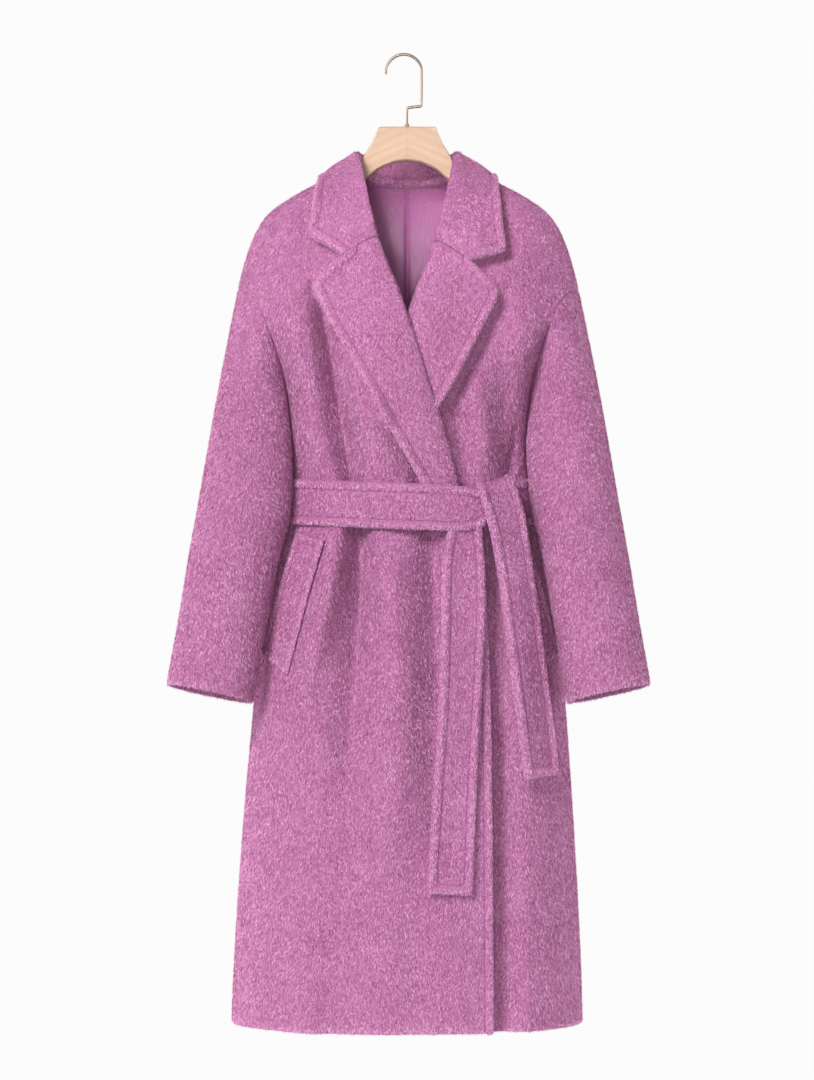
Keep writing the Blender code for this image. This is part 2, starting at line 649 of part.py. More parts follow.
def build_back_lining(finish):
    """The lining of the back, where the open neck shows it, with its pleat at the middle."""
    top, bottom = -0.1650, -0.470
    rows, columns = 9, 6
    pleat_depth, pleat_half_width = 0.0016, 0.012
    outer, inner = [], []
    for i in range(rows + 1):
        height = bottom + (top - bottom) * i / rows
        half = 0.050 + 0.074 * ramp(height, top, -0.24)
        front_row, back_row = [], []
        for j in range(-columns, columns + 1):
            x = half * j / columns
            pleat = pleat_depth * math.exp(-((x / pleat_half_width) ** 2))
            # below the neck it lies on the back beside the pleat, and stands off elsewhere
            near = math.exp(-(((abs(x) - 0.035) / 0.012) ** 2))
            near *= ramp(height, -0.20, -0.23) * ramp(height, -0.32, -0.29)
            lift = -CLOTH - LAYER_GAP * (2 - near) - pleat
            front_row.append(on_body("back", x, height, lift))
            back_row.append(on_body("back", x, height, lift - LINING))
        outer.append(front_row)
        inner.append(back_row)
    return cloth_wall("lining_back", outer, inner, finish)


def lapel_line(which, row):
    """One line of a lapel from roll to edge, on its seen face and on its own back."""
    sign = 1 if which == "right" else -1
    start = panel_edge_x(which, row.roll_height)
    base = front_lift(which, start, row.roll_height)
    seen, back = [], []
    for at in WRAP:
        for line, past, out in ((seen, at.seen_past, at.seen_out), (back, at.back_past, at.back_out)):
            line.append(on_body("front", start + sign * past, row.roll_height, base + out))
    for share in (0.12, 0.26, 0.42, 0.60, 0.80, 1.0):
        x = start + (row.edge_x - start) * share
        height = row.roll_height + (row.edge_height - row.roll_height) * share
        spring = LAPEL_SPRING * math.sin(math.pi * share**0.65)
        spring *= 0.12 + 0.88 * ramp(abs(row.edge_x - start), 0.020, 0.070)
        if which == "left":  # it lies flat where the right front covers it
            cover = edge_toward(height)
            spring *= max(ramp(height, -0.335, -0.31), ramp(x, cover + 0.004, cover + 0.030))
        lift = front_lift(which, x, height) + LAPEL_LIFT + spring
        back.append(on_body("front", x, height, lift))
        seen.append(on_body("front", x, height, lift + DOUBLED))
    return seen, back


def build_lapel(which, finish):
    """A lapel: it wraps round the front panel's edge at the roll and lies back over it."""
    table = RIGHT_LAPEL if which == "right" else LEFT_LAPEL
    lines = [lapel_line(which, row) for row in table]
    seen, back = [line[0] for line in lines], [line[1] for line in lines]
    return cloth_wall(f"lapel_{which}", seen, back, finish)


def collar_foot(sign, row):
    """Where the stand starts, inside the neck edge it is sewn to: seen face, other face."""
    if row.sewn_on == "front":
        side = "right" if sign < 0 else "left"
        edge_x = panel_edge_x(side, row.sewn_at)
        low = WRAP[0]
        return tuple(
            on_body("front", edge_x - sign * past, row.sewn_at, low.seen_out)
            for past in (low.seen_past, low.back_past)
        )
    share = sign * row.sewn_at
    height = back_neck_height(share)
    way = body_normal("front" if row.sewn_at == 1 else "back", share, height)
    neck_edge = body_point("back", share, height)
    if row.sewn_at == 1:
        neck_edge.y = 0
    inward = Vector((-way.x, -way.y, 0)).normalized()
    foot_back = neck_edge - way * CLOTH + inward * SEAM_GAP * 2 - Vector((0, 0, 0.001))
    return foot_back + inward * DOUBLED, foot_back


def clear_of_body(side, point, lift):
    """The point, moved away from the body where it would come closer than lift."""
    if side == "shoulder" or point.z > NECK_POINT - 0.006:
        return point
    share = (point.x - body_column("middle", point.z)) / body_column("half_width", point.z)
    if abs(share) > 0.95:
        return point
    nearest = on_body(side, point.x, point.z, lift)
    y = min(point.y, nearest.y) if side == "front" else max(point.y, nearest.y)
    return Vector((point.x, y, point.z))


def collar_section(sign, row):
    """One section of the collar, up the stand, over the crest and down the fall.

    Gives its points on the seen face and on the face between stand and fall.
    """
    foot, foot_back = collar_foot(sign, row)
    crest = Vector((sign * row.crest_x, row.crest_y, row.crest_height))
    lies = DOUBLED + COLLAR_LIFT
    edge_x = sign * row.edge_x
    if row.edge_on == "shoulder":
        way = body_normal("front", sign, row.edge_height)
        edge = body_point("front", sign, row.edge_height) + way * lies
        edge.y = 0
    else:
        way = body_normal(row.edge_on, body_share(edge_x, row.edge_height), row.edge_height)
        edge = on_body(row.edge_on, edge_x, row.edge_height, lies)
    # at the back the stand leans out from the neck; at the front the collar lies flat
    flat = ramp(crest.y, 0.0, -0.080)
    radial = Vector((crest.x, crest.y, 0)).normalized()
    out = (radial + (Vector((0, -1, 0)) - radial) * flat).normalized()
    over = crest - edge
    over = (over - out * over.dot(out)).normalized()
    seen = [foot, crest - out * 0.0054 - over * 0.0046, crest, crest + out * 0.0062 - over * 0.0046]
    back = [
        foot_back,
        crest - out * 0.0005 - over * 0.0064,
        crest - over * DOUBLED,
        crest + out * 0.0011 - over * 0.0064,
    ]
    for share in (0.35, 0.70):
        swell = way * COLLAR_SWELL * math.sin(math.pi * share)
        point = seen[3] + (edge - seen[3]) * share + swell
        point = clear_of_body(row.edge_on, point, lies)
        seen.append(point)
        back.append(point - way * DOUBLED)
    return seen + [edge], back + [edge - way * DOUBLED]


def halfway(grid):
    """The grid with a curved row of points put in between each two of its rows."""
    finer = [grid[0]]
    for i in range(1, len(grid)):
        before, after = grid[i - 1], grid[i]
        if 1 < i < len(grid) - 1:
            outside = zip(grid[i - 2], before, after, grid[i + 1])
            finer.append([(b + c) * 0.5625 - (a + d) * 0.0625 for a, b, c, d in outside])
        else:
            finer.append([(b + c) / 2 for b, c in zip(before, after)])
        finer.append(after)
    return finer


def build_collar(finish):
    """Stand and fall in one, doubled, from notch to notch."""
    places = (0.0, 0.167, 0.25, 0.333, 0.415, 0.50, 0.70, 0.86, 1.0)
    lapel_places = (0.0, 0.11, 0.17, 0.23, 0.30, 0.37, 0.60, 0.80, 1.0)
    left = list(COLLAR)
    for number, drop in LEFT_COLLAR_DROP:
        left[number] = left[number]._replace(edge_height=left[number].edge_height - drop)
    sections = [collar_section(-1, row) for row in reversed(COLLAR)]
    sections += [collar_section(1, row) for row in left[1:]]
    faces = []
    for face, curve in ((0, spline), (1, polyline)):
        # at each notch the collar ends along the top line of the lapel
        ends = []
        for which, table in (("right", RIGHT_LAPEL), ("left", LEFT_LAPEL)):
            line = lapel_line(which, table[-1])[face]
            step = Vector((0, 0, 2 * SEAM_GAP))
            ends.append([curve(line, place) + step for place in lapel_places])
        rows = [[curve(section[face], place) for place in places] for section in sections]
        faces.append(halfway([ends[0]] + rows + [ends[1]]))
    return cloth_wall("collar", faces[0], faces[1], finish)


def body_clearance(sign, point, gap):
    """The point, moved sideways, if it has to be, so that a sleeve stays clear of the body."""
    half_width = body_column("half_width", point.z) + gap
    depth = body_column("front_depth" if point.y < 0 else "back_depth", point.z) + gap
    if abs(point.y) >= depth:
        return point
    nearest = half_width * section_depth(point.y / depth)
    middle = body_column("middle", point.z)
    if (point.x - middle) * sign >= nearest:
        return point
    return Vector((middle + sign * nearest, point.y, point.z))


def armhole_ring(sign):
    """The armhole seam: down the front from its top to the armpit and up the back."""
    heights = [height for height in reversed(ROW_HEIGHTS) if ARMPIT <= height <= ARMHOLE_TOP]
    ring = []
    for side, run in (("front", heights), ("back", heights[::-1])):
        for height in run[:-1]:
            point, way = body_point(side, sign, height), body_normal(side, sign, height)
            if height in (ARMPIT, ARMHOLE_TOP):
                point.y, way.y = 0, 0
            ring.append((point, way.normalized()))
    return ring


def sleeve_ring(sign, row, turns):
    """One ring of a sleeve, from its outer point over the front to the inner point."""
    ring = []
    for turn in turns:
        c, s = math.cos(turn), math.sin(turn)
        across = (1 + math.copysign(abs(c) ** 0.9, c)) / 2
        deep = -math.copysign(abs(s) ** 0.9, s)
        inner_x = sign * row.inner_x + body_column("middle", row.inner_height)
        outer_x = sign * row.outer_x + body_column("middle", ARMPIT)
        height = row.inner_height + (row.outer_height - row.inner_height) * across
        ring.append(
            Vector((
                inner_x + (outer_x - inner_x) * across,
                row.middle_y + row.half_depth * deep,
                height - row.back_drop * deep,
            ))
        )
    return ring


def build_sleeve(which, finish):
    """A sleeve, open at the armhole and at the cuff."""
    sign = -1 if which == "right" else 1
    seam = armhole_ring(sign)
    steps = len(seam)
    walked = [0.0]
    for j in range(steps):
        walked.append(walked[-1] + (seam[(j + 1) % steps][0] - seam[j][0]).length)
    turns = [2 * math.pi * walked[j] / walked[-1] for j in range(steps)]
    away = Vector((sign, 0, -0.35)).normalized() * SEAM_GAP * 1.6
    controls = [[point + away for point, _ in seam]]
    controls += [sleeve_ring(sign, row, turns) for row in SLEEVE]
    grid = []
    for k in range(len(controls) - 1):
        inserts = 3 if k == 0 else 2
        for m in range(inserts):
            place = (k + m / inserts) / (len(controls) - 1)
            grid.append([spline([ring[j] for ring in controls], place) for j in range(steps)])
    grid.append(controls[-1])
    for i, row in enumerate(grid[1:], start=1):
        for j, point in enumerate(row):
            by_belt = ramp(point.z, -0.505, -0.536) * ramp(point.z, -0.86, -0.80)
            row[j] = body_clearance(sign, point, (0.0010 + 0.0068 * by_belt) * ramp(i, 0, 2))
    normals = grid_normals(grid, round_it=True)
    if sign < 0:
        normals = [[-normal for normal in line] for line in normals]
    for j, (_, body_way) in enumerate(seam):
        own = ramp((1 - math.cos(turns[j])) / 2, 0.25, 0.65)
        normals[0][j] = (body_way + (normals[0][j] - body_way) * own).normalized()
    return cloth_wall(
        f"sleeve_{which}", grid, moved(grid, normals, -CLOTH), finish, round_it=True
    )


def build_pocket(which, finish):
    """The wide slanted welt that stands over a pocket's mouth."""
    sign = -1 if which == "right" else 1
    rows, columns = 10, 4
    outer, inner = [], []
    for i in range(rows + 1):
        down = i / rows
        side, front = (
            (top.across + (low.across - top.across) * down,
             top.height + (low.height - top.height) * down)
            for top, low in (
                (POCKET_TOP_SIDE, POCKET_LOW_SIDE),
                (POCKET_TOP_FRONT, POCKET_LOW_FRONT),
            )
        )
        front_row, back_row = [], []
        for j in range(columns + 1):
            share = j / columns
            height = side[1] + (front[1] - side[1]) * share
            across = side[0] + (front[0] - side[0]) * share
            x = sign * across + body_column("middle", height)
            lift = front_lift(which, x, height) + LAYER_GAP
            front_row.append(on_body("front", x, height, lift + POCKET_THICKNESS))
            back_row.append(on_body("front", x, height, lift))
        outer.append(front_row)
        inner.append(back_row)
    return cloth_wall(f"pocket_{which}", outer, inner, finish)


def ring_point(turn, height, lift):
    """A point round the body with its folds left out: turn 0 is its left, 90 its back."""
    c, s = math.cos(math.radians(turn)), math.sin(math.radians(turn))
    half_width = body_column("half_width", height) + lift
    depth = body_column("back_depth" if s >= 0 else "front_depth", height) + lift
    power = 2 / ROUNDNESS
    x = body_column("middle", height) + half_width * math.copysign(abs(c) ** power, c)
    return Vector((x, depth * math.copysign(abs(s) ** power, s), height))


def build_belt_band(finish):
    """The belt's band, from its covered end round the body to its fold at the knot."""
    stations = 56
    across = (-1.0, -0.93, 0.0, 0.93, 1.0)
    fold_starts = 0.945
    outer, inner = [], []
    first, last = BAND[0].turn, BAND[-1].turn
    for i in range(stations + 1):
        share = i / stations
        turn = first + (last - first) * share
        middle = smooth_lookup(BAND, "turn", "middle_height", turn)
        lift = smooth_lookup(BAND, "turn", "lift", turn)
        turned_under = clamp((share - fold_starts) / (1 - fold_starts))
        rounded = 0.022 * (1 - math.sqrt(1 - turned_under**2))
        front_row, back_row = [], []
        for place in across:
            height = middle + (BELT_WIDTH / 2 - rounded * (1.0 if place < 0 else 0.3)) * place
            soft_edge = 0.0012 if abs(place) == 1 else 0.0
            front_row.append(ring_point(turn, height, lift + DOUBLED - soft_edge))
            back_row.append(ring_point(turn, height, lift + soft_edge))
        outer.append(front_row)
        inner.append(back_row)
    return cloth_wall("belt_band", outer, inner, finish)


def build_tail(name, table, samples, finish):
    """One hanging end of the belt, doubled cloth that lies along the coat's front."""
    across = (-1.0, -0.9, 0.0, 0.9, 1.0)
    knots = [Vector((row.across, row.lift, row.height)) for row in table]
    shapes = [Vector((row.width, row.frontward, 0)) for row in table]
    middles = []
    for i in range(samples + 1):
        x, lift, height = spline(knots, i / samples)
        middles.append(smooth_front_point(x, height, lift))
    outer, inner = [], []
    for i, (middle, way) in enumerate(middles):
        run = (middles[min(i + 1, samples)][0] - middles[max(i - 1, 0)][0]).normalized()
        width, frontward, _ = spline(shapes, i / samples)
        way = (way + Vector((0, -frontward, 0))).normalized()
        slanted = Vector((1, 0, TAIL_SLANT))
        over = slanted - way * way.dot(slanted)
        over = (over - run * over.dot(run)).normalized()
        face = over.cross(run).normalized()
        front_row, back_row = [], []
        for place in across:
            soft_edge = 0.0012 if abs(place) == 1 else 0.0
            point = middle + over * (width / 2 * place)
            front_row.append(point + face * (DOUBLED / 2 - soft_edge))
            back_row.append(point - face * (DOUBLED / 2 - soft_edge))
        outer.append(front_row)
        inner.append(back_row)
    return cloth_wall(name, outer, inner, finish)


def coat_inside_height(x):
    """The height of the shoulder seam's inner side at a distance from the middle."""
    side = math.copysign(1, x)
    low, high = -0.26, NECK_POINT
    for _ in range(40):
        middle = (low + high) / 2
        inside = body_point("front", side, middle) - body_normal("front", side, middle) * CLOTH
        if inside.x * side > x * side:
            low = middle
        else:
            high = middle
    return inside.z


def ring_solid(name, rings, finish):
    """A closed solid through rings of points, with a flat face at each end."""
    bm = bmesh.new()
    made = [[bm.verts.new(point) for point in ring] for ring in rings]
    for before, after in zip(made, made[1:]):
        for k in range(len(before)):
            m = (k + 1) % len(before)
            bm.faces.new((before[k], before[m], after[m], after[k]))
    bm.faces.new(made[0])
    bm.faces.new(made[-1])
    return add_object(name, bm, finish)


def build_hanger_body(finish):
    """The wooden hanger: a flat neck with an arch, and arms that widen to the shoulders."""
    rings = []
    rows = [row._replace(across=-row.across) for row in reversed(HANGER[1:])] + list(HANGER)
    for row in rows:
        top = row.top
        if abs(row.across) >= ARM_STARTS:
            top = min(top, coat_inside_height(row.across) - LAYER_GAP)
        middle, half = (top + row.bottom) / 2, (top - row.bottom) / 2
        eased = HANGER_EASED + ARM_EASED * ramp(abs(row.across), 0.06, ARM_STARTS + 0.03)
        soft = eased * min(half, row.half_thickness)
        flat_y, flat_z = row.half_thickness - soft, half - soft
        corners = (
            (flat_y, half), (row.half_thickness, flat_z), (row.half_thickness, -flat_z),
            (flat_y, -half), (-flat_y, -half), (-row.half_thickness, -flat_z),
            (-row.half_thickness, flat_z), (-flat_y, half),
        )
        rings.append([Vector((row.across, y, middle + z)) for y, z in corners])
    return ring_solid("hanger_body", rings, finish)


def quarter_turn(centre, radius, start, end, steps):
    """Points of an arc in the hook's plane, angles in degrees."""
    points = []
    for k in range(steps + 1):
        angle = math.radians(start + (end - start) * k / steps)
        points.append((centre[0] + radius * math.cos(angle), centre[1] + radius * math.sin(angle)))
    return points


def build_hanger_hook(finish):
    """The hook's wire: up the stem, across, up the back and over the crown."""
    crown_height = -math.sqrt((HOOK_RADIUS - WIRE) ** 2 - HOOK_OFFSET**2)
    bend = 0.0035
    step_top = HOOK_STEM_TOP + 0.0012
    path = [(0, HANGER[0].top + SEAM_GAP)]
    path += quarter_turn((bend, HOOK_STEM_TOP - bend), bend, 180, 90, 4)
    path += quarter_turn((HOOK_BACK_X - bend, step_top + bend), bend, -90, 0, 4)
    path += quarter_turn((HOOK_BACK_X - HOOK_RADIUS, crown_height), HOOK_RADIUS, 0, 187, 20)
    rings = []
    for i, (x, z) in enumerate(path):
        before, after = path[max(i - 1, 0)], path[min(i + 1, len(path) - 1)]
        run = Vector((after[0] - before[0], 0, after[1] - before[1])).normalized()
        sideways = Vector((run.z, 0, -run.x))
        ring = []
        for k in range(8):
            angle = 2 * math.pi * k / 8
            out = sideways * math.cos(angle) + Vector((0, 1, 0)) * math.sin(angle)
            ring.append(Vector((x, 0, z)) + out * WIRE)
        rings.append(ring)
    return ring_solid("hanger_hook", rings, finish)


def build_ferrule(finish):
    """The small metal collar round the foot of the hook, turned from a profile."""
    hole = WIRE + SEAM_GAP
    low = HANGER[0].top + SEAM_GAP
    high = low + FERRULE_HEIGHT
    soft = 0.0005
    profile = (
        (hole, low),
        (FERRULE_RADIUS, low),
        (FERRULE_RADIUS, high - soft),
        (FERRULE_RADIUS - soft, high),
        (hole, high),
    )
    bm = bmesh.new()
    corners = [bm.verts.new((radius, 0, height)) for radius, height in profile]
    edges = [bm.edges.new(pair) for pair in zip(corners, corners[1:] + corners[:1])]
    bmesh.ops.spin(
        bm, geom=corners + edges, cent=(0, 0, 0), axis=(0, 0, 1), angle=2 * math.pi,
        steps=16, use_merge=True, use_duplicate=False,
    )
    bmesh.ops.remove_doubles(bm, verts=bm.verts, dist=1e-6)
    return add_object("hanger_ferrule", bm, finish)


def clear_scene():
    for old in list(bpy.data.objects):
        bpy.data.objects.remove(old)


def build_coat():
    wool = material("brushed_wool", (0.478, 0.165, 0.380), 0.85)
    satin = material("lining_satin", (0.330, 0.120, 0.290), 0.45)
    beech = material("beech", (0.760, 0.480, 0.290), 0.40)
    steel = material("polished_steel", (0.700, 0.680, 0.650), 0.25, metallic=1.0)
    build_front("right", 19, wool)
    build_front("left", 17, wool)
    build_back(20, wool)
    build_back_lining(satin)
    for which in ("right", "left"):
        build_lapel(which, wool)
        build_sleeve(which, wool)
        build_pocket(which, wool)
    build_collar(wool)
    build_belt_band(wool)
    build_tail("belt_tail_long", LONG_TAIL, 18, wool)
    build_tail("belt_tail_short", SHORT_TAIL, 26, wool)
    build_hanger_body(beech)
    build_hanger_hook(steel)
    build_ferrule(steel)


clear_scene()
build_coat()
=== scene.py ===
# %% [markdown]
# # A wool wrap coat on a wooden hanger
#
# This lesson dresses a coat. Its plain solids are loaded first, as a fixed frame: two fronts, a back,
# sleeves, collar, lapels, pocket welts, a belt in three stretches, a scrap of lining and the hanger.
# Each cloth piece is copied, rounded at its cut edges, given its folds, and then covered with
# the brushed pile that makes this cloth look like itself. The frame stays underneath for the physics.
#
# Lengths are metres in the frame: +Z is up, -Y is the front, and -X is the wearer's right.

from collections import namedtuple
from math import radians

import bmesh
import bpy
import numpy as np
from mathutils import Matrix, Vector
from mathutils.bvhtree import BVHTree


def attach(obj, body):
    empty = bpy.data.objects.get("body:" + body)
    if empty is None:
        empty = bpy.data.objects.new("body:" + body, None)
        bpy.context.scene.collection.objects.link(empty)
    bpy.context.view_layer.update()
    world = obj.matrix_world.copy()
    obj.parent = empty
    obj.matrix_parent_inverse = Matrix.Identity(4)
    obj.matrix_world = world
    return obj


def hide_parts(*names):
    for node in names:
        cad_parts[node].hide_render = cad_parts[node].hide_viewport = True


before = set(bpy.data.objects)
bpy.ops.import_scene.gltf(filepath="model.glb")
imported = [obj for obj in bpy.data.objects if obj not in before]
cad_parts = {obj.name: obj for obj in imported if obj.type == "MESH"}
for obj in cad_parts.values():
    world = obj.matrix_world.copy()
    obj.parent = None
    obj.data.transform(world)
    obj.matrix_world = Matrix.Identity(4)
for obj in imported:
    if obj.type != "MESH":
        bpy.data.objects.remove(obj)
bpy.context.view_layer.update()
MM = 0.001

# %% [markdown]
# ## Colours and shader nodes
#
# A colour picked on a screen is an sRGB value, and a shader wants linear light, so one function
# turns a hex value into the other. A second function adds any shader node with its settings and its
# links in one line, which keeps each material below as short as its idea.


# %% Helpers for materials
def linear(hex_colour):
    """An sRGB hex value as a linear colour."""
    parts = [int(hex_colour[i : i + 2], 16) / 255 for i in (1, 3, 5)]
    return (*[p / 12.92 if p <= 0.04045 else ((p + 0.055) / 1.055) ** 2.4 for p in parts], 1.0)


def add(tree, kind, settings=None, values=None, links=None):
    """Adds a shader node: its properties, its inputs' values, and its links as input: (node, output)."""
    made = tree.nodes.new("ShaderNode" + kind)
    for name, value in (settings or {}).items():
        if name == "stops":
            ramp = made.color_ramp
            while len(ramp.elements) < len(value):
                ramp.elements.new(0.5)
            for element, (position, colour) in zip(ramp.elements, value):
                element.position, element.color = position, linear(colour)
        else:
            setattr(made, name, value)
    for socket, value in (values or {}).items():
        made.inputs[socket].default_value = value
    for socket, (source, output) in (links or {}).items():
        tree.links.new(source.outputs[output], made.inputs[socket])
    return made


def new_material(name):
    """An empty material: (material, its tree, its output node)."""
    made = bpy.data.materials.new(name)
    made.use_nodes = True
    made.node_tree.nodes.clear()
    return made, made.node_tree, made.node_tree.nodes.new("ShaderNodeOutputMaterial")


# %% [markdown]
# ## Brushed wool
#
# The cloth is a thick wool that has been brushed until its face lies over in one soft pile. Fibres
# gather in small locks, about 1 mm wide and 4 mm long, light at their tips and dark between them.
# The ground below the pile needs only that rhythm: noise stretched along the nap drives its colour
# and its bump. Sheen lifts the colour where the cloth turns away, as loose fibres do.

# %% The ground cloth
FLECK = 2.0 * MM  # the ground is mottled in flecks this wide, where a few locks part
DRIFT = 50 * MM  # and lighter or darker over patches this wide
WANDER = 90 * MM  # the nap changes its way over this length
STITCH_INSET = 11 * MM  # topstitching runs this far inside an edge
GROOVE_SHADE, GROOVE_SHADE_FADE = 0.3 * MM, 1.6 * MM  # to both sides of it the ground sinks in the bump and darkens in colour, as painted shade of the groove


def wool(name, dark, middle, light):
    """Brushed wool's ground: flecks as colour and bump, and where thread presses it a groove in the bump
    with painted shade in the colour.
    """
    made, tree, out = new_material(name)
    place = add(tree, "TexCoord")
    wander = add(tree, "TexNoise", values={"Scale": 1 / WANDER, "Detail": 1.0},
                 links={"Vector": (place, "Object")})
    turned = add(tree, "VectorMath", {"operation": "MULTIPLY_ADD"}, {1: (0.05, 0.05, 0.0)},
                 {0: (wander, "Color"), 2: (place, "Object")})
    along = add(tree, "Mapping", values={"Scale": (1.0, 1.0, 0.5)}, links={"Vector": (turned, "Vector")})
    flecks = add(tree, "TexNoise", values={"Scale": 1 / FLECK, "Detail": 2.0, "Roughness": 0.6},
                 links={"Vector": (along, "Vector")})
    drifts = add(tree, "TexNoise", values={"Scale": 1 / DRIFT, "Detail": 2.0},
                 links={"Vector": (place, "Object")})
    mixed = add(tree, "Math", {"operation": "MULTIPLY_ADD"}, {1: 0.25},
                {0: (drifts, "Fac"), 2: (flecks, "Fac")})
    from_edge = add(tree, "Attribute", {"attribute_name": "edge_distance"})
    off_line = add(tree, "Math", {"operation": "SUBTRACT"}, {1: STITCH_INSET}, {0: (from_edge, "Fac")})
    off_line = add(tree, "Math", {"operation": "ABSOLUTE"}, links={0: (off_line, "Value")})
    # Along the stitch line the tone drops: a real groove in the bump, and painted shade of that groove in
    # the colour.
    free = add(tree, "MapRange", {"interpolation_type": "SMOOTHSTEP"},
               {"From Min": GROOVE_SHADE, "From Max": GROOVE_SHADE_FADE, "To Min": 0.86}, {"Value": (off_line, "Value")})
    tone = add(tree, "Math", {"operation": "MULTIPLY"}, links={0: (mixed, "Value"), 1: (free, "Result")})
    ramp = add(tree, "ValToRGB", {"stops": ((0.38, dark), (0.6, middle), (0.85, light))},
               links={"Fac": (tone, "Value")})
    rise = add(tree, "Bump", values={"Strength": 0.8, "Distance": FLECK},
               links={"Height": (tone, "Value")})
    cloth = add(tree, "BsdfPrincipled",
                values={"Roughness": 0.9, "Specular IOR Level": 0.15, "Sheen Weight": 0.35,
                        "Sheen Roughness": 0.5, "Sheen Tint": linear("#F0B8E0")},
                links={"Base Color": (ramp, "Color"), "Normal": (rise, "Normal")})
    tree.links.new(cloth.outputs["BSDF"], out.inputs["Surface"])
    return made


brushed_wool = wool("brushed_wool", "#8E4A79", "#B66E9E", "#CC8AB8")
print("material:", brushed_wool.name)

# %% [markdown]
# ## The pile's own fibres
#
# Each lock is going to be a small blade, with painted shade at its root and a painted highlight at its
# tip. Two numbers are kept on its points, how far along the lock a point is and how light that lock is,
# so the painted shading follows every lock wherever it lies. No pattern on the cloth could do that.


# %% The pile
def pile_material():
    """Wool fibres seen from outside: painted shade at the roots, a painted highlight at the tips, no two
    locks quite alike.
    """
    made, tree, out = new_material("wool_pile")
    tip = add(tree, "Attribute", {"attribute_name": "tip"})
    lock = add(tree, "Attribute", {"attribute_name": "lock"})
    place = add(tree, "TexCoord")
    drifts = add(tree, "TexNoise", values={"Scale": 1 / (0.9 * DRIFT), "Detail": 2.0},
                 links={"Vector": (place, "Object")})
    # From root to tip the colour rises from painted shade to a painted highlight, on top of each lock's own
    # tone.
    lightness = add(tree, "Math", {"operation": "MULTIPLY_ADD"}, {1: 0.35},
                    {0: (tip, "Fac"), 2: (lock, "Fac")})
    shifted = add(tree, "Math", {"operation": "MULTIPLY_ADD"}, {1: 0.2},
                  {0: (drifts, "Fac"), 2: (lightness, "Value")})
    ramp = add(tree, "ValToRGB",
               {"stops": ((0.1, "#7E3465"), (0.55, "#C276A7"), (1.0, "#EFBADE"))},
               links={"Fac": (shifted, "Value")})
    fibre = add(tree, "BsdfPrincipled",
                values={"Roughness": 0.85, "Specular IOR Level": 0.2, "Sheen Weight": 0.35,
                        "Sheen Roughness": 0.4, "Sheen Tint": linear("#F6BFE2")},
                links={"Base Color": (ramp, "Color")})
    tree.links.new(fibre.outputs["BSDF"], out.inputs["Surface"])
    return made


wool_pile = pile_material()
print("material:", wool_pile.name)

# %% [markdown]
# ## Satin, thread, beech and steel
#
# The lining is a plum satin: long floats of thread give a smooth, directional gloss. The wood is
# pale beech under a thin lacquer, in two halves glued at the centre, its grain slanting down to both
# sides from there. The hook is nickel-plated steel wire, slightly warm, and satin rather than bright:
# a mirror that thin would show nothing but the white room.


# %% Satin and thread
FLOAT_WIDTH, TWIST = 1.2 * MM, 0.8 * MM  # both far coarser than real thread, so that they show


def satin():
    """Lining satin: smooth floats that run down the coat and pull the highlight out sideways."""
    made, tree, out = new_material("lining_satin")
    place = add(tree, "TexCoord")
    floats = add(tree, "Mapping", values={"Scale": (1.0, 1.0, 0.04)}, links={"Vector": (place, "Object")})
    threads = add(tree, "TexNoise", values={"Scale": 1 / FLOAT_WIDTH, "Detail": 2.0},
                  links={"Vector": (floats, "Vector")})
    ramp = add(tree, "ValToRGB", {"stops": ((0.3, "#AC5C96"), (0.7, "#C272AC"))},
               links={"Fac": (threads, "Fac")})
    rise = add(tree, "Bump", values={"Strength": 0.25, "Distance": 0.3 * MM},
               links={"Height": (threads, "Fac")})
    cloth = add(tree, "BsdfPrincipled",
                values={"Roughness": 0.42, "Specular IOR Level": 0.5, "Anisotropic": 0.5,
                        "Sheen Weight": 0.15, "Sheen Tint": linear("#E8C0E0")},
                links={"Base Color": (ramp, "Color"), "Normal": (rise, "Normal")})
    tree.links.new(cloth.outputs["BSDF"], out.inputs["Surface"])
    return made


def thread():
    """Polyester sewing thread in the cloth's colour, twisted, sunk into the pile."""
    made, tree, out = new_material("sewing_thread")
    place = add(tree, "TexCoord")
    twist = add(tree, "TexNoise", values={"Scale": 1 / TWIST}, links={"Vector": (place, "Object")})
    ramp = add(tree, "ValToRGB", {"stops": ((0.3, "#7C3C6C"), (0.7, "#9C5488"))},
               links={"Fac": (twist, "Fac")})
    fibre = add(tree, "BsdfPrincipled", values={"Roughness": 0.6, "Specular IOR Level": 0.3},
                links={"Base Color": (ramp, "Color")})
    tree.links.new(fibre.outputs["BSDF"], out.inputs["Surface"])
    return made


lining_satin, sewing_thread = satin(), thread()
print("materials:", lining_satin.name, sewing_thread.name)


# %% Beech and steel
RING, PORE, DRAWN = 6 * MM, 1.1 * MM, 2 * MM  # growth rings, pores, and the marks left on drawn wire
GRAIN_FALL = radians(24)  # how steeply the grain falls away from the joint
GRAIN_LENGTH = 14.0  # how much longer a streak is than it is wide
GLUE_LINE, GLUE_FADE = 0.25 * MM, 0.6 * MM  # from the joint's middle


